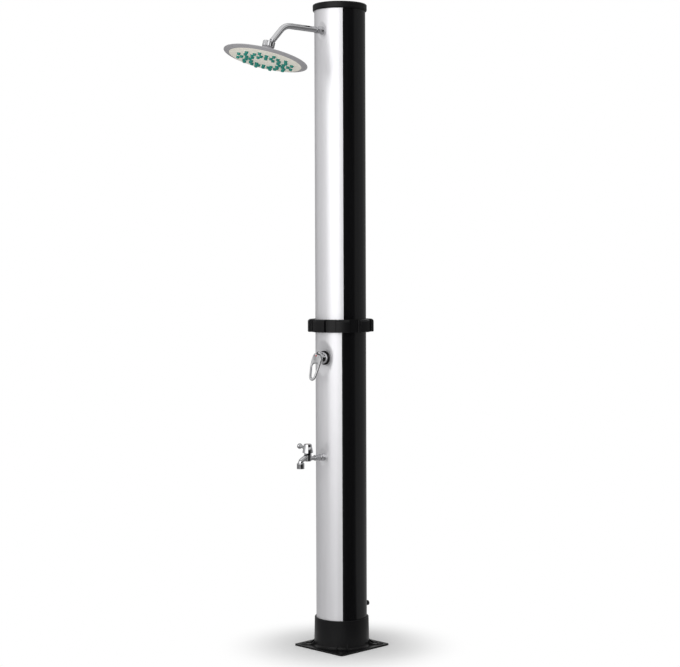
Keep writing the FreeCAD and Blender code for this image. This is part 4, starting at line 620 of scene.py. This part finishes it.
class SHOWER_OT_lever(bpy.types.Operator):
    """Build the mixer's loop lever, with the dome that covers its cap"""
    bl_idname = "shower.lever"
    bl_label = "Mixer lever"
    # Points round the loop's section, points between two points of its outline, sides of the drill.
    AROUND = 64
    PER_RUN = 8
    DRILL_SIDES = 24
    # The section is a superellipse; its exponent runs from 0, a square, to 1, an ellipse.
    ROUNDNESS = 0.48
    SHARP = math.radians(40.0)
    # In metres: how far the screw stands in its bore, the gap round it and how far out the drill reaches.
    SCREW_STANDS = 0.0015
    SCREW_GAP = 0.00005
    DRILL_REACH = 0.03

    def execute(self, context):
        shape = context.scene.lever_shape
        self.pivot = Vector(next(j for j in frame["joints"] if j["name"] == "mixer_lift")["pos_m"])
        out = Vector((0, -math.cos(shape.lean), math.sin(shape.lean)))
        down = Vector((0, -math.sin(shape.lean), -math.cos(shape.lean)))
        self.axes = (Vector((1, 0, 0)), down, out)
        mesh = bmesh.new()
        self.add_skin(mesh, shape)
        self.drill(mesh, shape)
        chrome = frame["nodes"]["mixer_cap"].data.materials[0]
        piece = add_mesh("loop_lever", mesh, chrome, "mixer_lever")
        piece.data.set_sharp_from_angle(angle=self.SHARP)
        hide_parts("mixer_lever")
        return {"FINISHED"}

    def outlines(self, shape):
        """The lever's edge and its slot's edge, as points (across, down) that lie side by side."""
        wide, low, bar, slot = shape.shoulder, shape.reach_down, shape.bar, shape.slot_top
        top, hole = shape.top, low - shape.slot_end
        edge = [(0, -top), (wide * 0.53, -top * 0.76), (wide * 0.87, -top * 0.2),
                (wide * 0.985, low * 0.11), (wide, low * 0.27), (wide * 0.95, low * 0.46),
                (wide * 0.82, low * 0.65), (wide * 0.68, low * 0.83), (wide * 0.43, low * 0.955), (0, low)]
        inner = [(0, slot), (wide * 0.26, slot * 1.01), (wide * 0.46, slot * 1.05),
                 (wide * 0.62, slot * 1.15), (wide * 0.71, slot * 1.32), (wide - bar, slot * 1.6),
                 (wide * 0.82 - bar * 0.95, hole * 0.73), (wide * 0.68 - bar * 0.9, hole * 0.89),
                 (wide * 0.28, hole * 0.97), (0, hole)]
        both = []
        for half in (edge, inner):
            points = [Vector(p) for p in half] + [Vector((-x, y)) for x, y in reversed(half[1:-1])]
            both.append(through(points, self.PER_RUN))
        return both

    def front(self, shape, far):
        """Height of the front over the middle plane: of the loop or of the dome, whichever is more."""
        flat = shape.thickness / 2
        dome = math.sqrt(max(shape.dome_radius ** 2 - far ** 2, 0.0)) - shape.reach
        return (flat + dome + math.sqrt((flat - dome) ** 2 + shape.dome_blend ** 2)) / 2

    def back(self, shape, far):
        """Depth of the back under the middle plane, hollowed round the cap."""
        inner = min(far, shape.skirt_radius)
        hollow = shape.reach - math.sqrt(shape.recess_radius ** 2 - inner ** 2)
        fade = smooth_step((far - shape.skirt_radius) / (shape.skirt_fade - shape.skirt_radius))
        return hollow * (1 - fade) + shape.thickness / 2 * fade

    def add_skin(self, mesh, shape):
        """Skin of the loop: rings of points that each go round its section."""
        across, down, out = self.axes
        rings = []
        for outer, inner in zip(*self.outlines(shape)):
            ring = []
            for k in range(self.AROUND):
                turn = 2 * math.pi * k / self.AROUND
                along, rise = (math.copysign(abs(part) ** self.ROUNDNESS, part)
                               for part in (math.cos(turn), math.sin(turn)))
                spot = outer.lerp(inner, (1 - along) / 2)
                high = self.front(shape, spot.length) if rise > 0 else self.back(shape, spot.length)
                place = across * spot.x + down * spot.y + out * (shape.reach + rise * high)
                ring.append(mesh.verts.new(self.pivot + place))
            rings.append(ring)
        for this, following in zip(rings, rings[1:] + rings[:1]):
            for k in range(self.AROUND):
                after = (k + 1) % self.AROUND
                mesh.faces.new((this[k], this[after], following[after], following[k]))

    def drill(self, mesh, shape):
        """Bores the hole over the set screw."""
        low, high = (Vector(corner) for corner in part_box("lever_screw"))
        middle = (low + high) / 2
        level = math.cos(shape.screw_rise)
        way = Vector((math.sin(shape.screw_turn) * level, -math.cos(shape.screw_turn) * level,
                      math.sin(shape.screw_rise)))
        points = [v.co - middle for v in frame["nodes"]["lever_screw"].data.vertices]
        start = max(p.dot(way) for p in points) - self.SCREW_STANDS
        radius = max((p - way * p.dot(way)).length for p in points) + self.SCREW_GAP
        turn = way.to_track_quat("Z", "Y").to_matrix().to_4x4()
        profile = [(0.0, start), (radius, start), (radius, self.DRILL_REACH), (0.0, self.DRILL_REACH)]
        drill = bmesh.new()
        turned(drill, Matrix.Translation(middle) @ turn, profile, self.DRILL_SIDES)
        cut_with(mesh, drill)


class SHOWER_OT_screen(bpy.types.Operator):
    """Weave the wire screen under the foot tap's outlet"""
    bl_idname = "shower.screen"
    bl_label = "Tap screen"
    WIRE_SIDES = 6

    def execute(self, context):
        finish = context.scene.tap_finish
        low, high = (Vector(corner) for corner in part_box("tap_aerator"))
        middle = (low + high) / 2
        middle.z = low.z - finish.screen_wire / 2
        radius = (high.x - low.x) / 2 - finish.screen_wire
        steps = int(radius / finish.screen_pitch)
        mesh = bmesh.new()
        for number in range(-steps, steps + 1):
            reach = math.sqrt(max(radius ** 2 - (number * finish.screen_pitch) ** 2, 0.0))
            if reach < finish.screen_pitch:
                continue
            for across in (False, True):
                line = self.wire(finish, middle, number, reach, across)
                tube_along(mesh, line, finish.screen_wire / 2, self.WIRE_SIDES)
        steel = metal("Screen wire", context.scene.fitting_finish.steel, roughness=0.30)
        add_mesh("tap_screen", mesh, steel, "post")
        return {"FINISHED"}

    def wire(self, finish, middle, number, reach, across):
        """Points of one wire, which runs over and under the wires that it crosses."""
        offset = number * finish.screen_pitch
        count = max(int(2 * reach / finish.screen_pitch) * 2, 4)
        line = []
        for i in range(count + 1):
            run = -reach + 2 * reach * i / count
            wave = math.sin(math.pi * (run / finish.screen_pitch + number + (0 if across else 1)))
            x, y = (run, offset) if across else (offset, run)
            line.append(middle + Vector((x, y, wave * finish.screen_wire / 2)))
        return line


# ---------------------------------------------------------------- stage
def area_lamp(name, place, aim, size, watts):
    """Rectangular softbox at a place, turned towards its aim."""
    light = bpy.data.lights.new(name, "AREA")
    light.shape = "RECTANGLE"
    light.size, light.size_y = size
    light.energy = watts
    lamp = bpy.data.objects.new(name, light)
    lamp.location = place
    lamp.rotation_euler = (Vector(aim) - Vector(place)).to_track_quat("-Z", "Y").to_euler()
    bpy.context.scene.collection.objects.link(lamp)


def around(turn, distance, height):
    """Place at an angle round the post, from its front towards its right."""
    return Vector((distance * math.sin(turn), -distance * math.cos(turn), height))


class SHOWER_OT_stage(bpy.types.Operator):
    """Set up the floor, the lamps, the surround and the camera"""
    bl_idname = "shower.stage"
    bl_label = "Studio"
    FLOOR_SIDES = 96
    FLOOR_GAP = 0.0005
    SENSOR_WIDTH = 36.0
    # Half of the width over which one screen fades into the next: round the post, upwards, and on the floor.
    EDGE = math.radians(4.0)
    UPPER_FADE = 0.04
    BAND_FADE = 0.03
    DISC_FADE = 0.2

    def execute(self, context):
        studio = context.scene.studio
        self.add_floor(studio)
        self.add_lamps(studio)
        self.set_world(context, studio)
        self.add_camera(context, studio)
        context.scene.view_settings.view_transform = "Standard"
        return {"FINISHED"}

    def add_floor(self, studio):
        mesh = bmesh.new()
        bmesh.ops.create_circle(mesh, cap_ends=True, radius=studio.floor_radius,
                                segments=self.FLOOR_SIDES)
        data = bpy.data.meshes.new("studio_floor")
        mesh.to_mesh(data)
        mesh.free()
        floor = bpy.data.objects.new("studio_floor", data)
        floor.location = (0, 0, CAD_BOX[0][2] - self.FLOOR_GAP)
        bpy.context.scene.collection.objects.link(floor)
        data.materials.append(self.floor_material(studio))

    def floor_material(self, studio):
        """Matt floor that shows its shadow near the post, and that the fittings mirror as a carpet."""
        material = bpy.data.materials.new("Studio floor")
        material.use_nodes = True
        tree = Tree(material.node_tree)
        material.node_tree.nodes.clear()
        where = tree.add("ShaderNodeTexCoord").outputs["Object"]
        distance = tree.add("ShaderNodeVectorMath", {0: where}, operation="LENGTH").outputs["Value"]
        speckle = tree.add("ShaderNodeTexNoise", {"Vector": where, "Scale": 60.0, "Detail": 2.0})
        shade = tree.blend(speckle.outputs[0], scaled(studio.floor, 0.99), scaled(studio.floor, 1.01))
        matt = tree.add("ShaderNodeBsdfDiffuse", {"Color": shade})
        plain = tree.add("ShaderNodeEmission", {"Color": (1, 1, 1, 1), "Strength": 1.0})
        path = tree.add("ShaderNodeLightPath")
        far = tree.add("ShaderNodeMapRange", {"Value": distance, "From Min": studio.shadow_core,
                                              "From Max": studio.clear_radius},
                       interpolation_type="SMOOTHERSTEP").outputs["Result"]
        parts = tree.add("ShaderNodeSeparateXYZ", {0: where})
        level = self.with_shade(tree, self.bearing(tree, parts), studio, studio.carpet_level,
                                studio.carpet_level)
        carpet = tree.add("ShaderNodeBsdfDiffuse", {"Color": self.grey(tree, level)})
        beyond = tree.between(distance, studio.disc_radius * (1 - self.DISC_FADE),
                              studio.disc_radius * (1 + self.DISC_FADE))
        below = tree.add("ShaderNodeMixShader", {
            0: tree.math("MULTIPLY", beyond, path.outputs["Is Glossy Ray"]),
            1: matt.outputs[0], 2: carpet.outputs[0]})
        mix = tree.add("ShaderNodeMixShader", {
            0: tree.math("MULTIPLY", far, path.outputs["Is Camera Ray"]),
            1: below.outputs[0], 2: plain.outputs[0]})
        tree.add("ShaderNodeOutputMaterial", {"Surface": mix.outputs[0]})
        return material

    def add_lamps(self, studio):
        aim = (0, 0, studio.lamp_aim)
        key = around(studio.key_angle, studio.lamp_distance, studio.key_height)
        fill = around(studio.fill_angle, studio.lamp_distance, studio.fill_height)
        area_lamp("key_softbox", key, aim, studio.key_size, studio.key_power)
        area_lamp("fill_softbox", fill, aim, studio.fill_size, studio.fill_power)
        area_lamp("top_softbox", studio.top_place, (0, 0, 0), studio.top_size, studio.top_power)

    def set_world(self, context, studio):
        """Even light for the surfaces, screens for what mirrors, and white for the camera."""
        world = bpy.data.worlds.new("Studio surround")
        world.use_nodes = True
        context.scene.world = world
        tree = Tree(world.node_tree)
        world.node_tree.nodes.clear()
        path = tree.add("ShaderNodeLightPath")
        direction = tree.add("ShaderNodeTexCoord").outputs["Generated"]
        parts = tree.add("ShaderNodeSeparateXYZ", {0: direction})
        turn = self.bearing(tree, parts)
        rise = parts.outputs[2]
        level = self.step(tree, turn, studio.front_start, studio.front_softness, studio.side_level,
                          studio.front_level)
        level = self.with_shade(tree, turn, studio, level, studio.side_level)
        level = self.step(tree, rise, studio.upper_start, self.UPPER_FADE, level, studio.upper_level)
        level = self.step(tree, rise, studio.band_start, self.BAND_FADE, level, studio.dark_level)
        level = self.step(tree, rise, studio.ceiling_start, self.BAND_FADE, level, studio.ceiling_level)
        seen = tree.blend(path.outputs["Is Camera Ray"], self.grey(tree, level), (1, 1, 1, 1))
        lit = tree.add("ShaderNodeBackground", {"Color": (1, 1, 1, 1), "Strength": studio.surround})
        shown = tree.add("ShaderNodeBackground", {"Color": seen, "Strength": 1.0})
        direct = tree.math("ADD", path.outputs["Is Camera Ray"], path.outputs["Is Glossy Ray"])
        direct = tree.math("ADD", direct, path.outputs["Is Transmission Ray"], clamp=True)
        mix = tree.add("ShaderNodeMixShader", {0: direct, 1: lit.outputs[0], 2: shown.outputs[0]})
        tree.add("ShaderNodeOutputWorld", {"Surface": mix.outputs[0]})

    def grey(self, tree, level):
        return tree.add("ShaderNodeCombineColor", {0: level, 1: level, 2: level}).outputs[0]

    def bearing(self, tree, parts):
        """Angle of a direction round the post, from its front towards its right."""
        return tree.math("ARCTAN2", parts.outputs[0], tree.math("MULTIPLY", parts.outputs[1], -1.0))

    def with_shade(self, tree, turn, studio, before, after):
        """Level before the dark screens, theirs, and the level after them."""
        level = self.step(tree, turn, studio.shade_start, self.EDGE, before, studio.dark_level)
        return self.step(tree, turn, studio.shade_end, self.EDGE, level, after)

    def step(self, tree, value, place, soft, before, after):
        """Level that changes from one value to another round a place."""
        along = tree.between(value, place - soft, place + soft)
        return tree.add("ShaderNodeMix", {0: along, 2: before, 3: after}, data_type="FLOAT").outputs[0]

    def add_camera(self, context, studio):
        data = bpy.data.cameras.new("camera")
        data.sensor_width = self.SENSOR_WIDTH
        data.sensor_fit = "HORIZONTAL"
        data.lens = studio.focal_length
        data.shift_x = studio.shift_x
        data.shift_y = studio.shift_y
        camera = bpy.data.objects.new("camera", data)
        place = around(studio.camera_angle, studio.camera_distance, studio.camera_height)
        drop = studio.camera_distance * math.tan(studio.camera_pitch)
        look = Vector((-place.x, -place.y, -drop)).to_track_quat("-Z", "Y").to_matrix().to_4x4()
        roll = Matrix.Rotation(studio.camera_roll, 4, "Z")
        camera.matrix_world = Matrix.Translation(place) @ look @ roll
        context.scene.collection.objects.link(camera)
        context.scene.camera = camera


# ---------------------------------------------------------------- panel
STEPS = (SHOWER_OT_pipes, SHOWER_OT_mouldings, SHOWER_OT_fittings, SHOWER_OT_inside, SHOWER_OT_head,
         SHOWER_OT_lever, SHOWER_OT_screen, SHOWER_OT_stage)


class SHOWER_PT_panel(bpy.types.Panel):
    """Lists the shower post's steps and settings"""
    bl_label = "Shower post"
    bl_idname = "SHOWER_PT_panel"
    bl_space_type = "VIEW_3D"
    bl_region_type = "UI"
    bl_category = "Shower"

    def draw(self, context):
        for step in STEPS:
            self.layout.operator(step.bl_idname)
        for name, group in GROUPS:
            box = self.layout.box()
            box.label(text=group.__doc__)
            for setting in group.__annotations__:
                box.prop(getattr(context.scene, name), setting)


def register():
    for name, group in GROUPS:
        bpy.utils.register_class(group)
        setattr(bpy.types.Scene, name, PointerProperty(type=group))
    for step in STEPS:
        bpy.utils.register_class(step)
    bpy.utils.register_class(SHOWER_PT_panel)


def unregister():
    bpy.utils.unregister_class(SHOWER_PT_panel)
    for step in reversed(STEPS):
        bpy.utils.unregister_class(step)
    for name, group in reversed(GROUPS):
        delattr(bpy.types.Scene, name)
        bpy.utils.unregister_class(group)


def main():
    register()
    for step in STEPS:
        family, action = step.bl_idname.split(".")
        getattr(getattr(bpy.ops, family), action)()


if __name__ == "__main__":
    main()
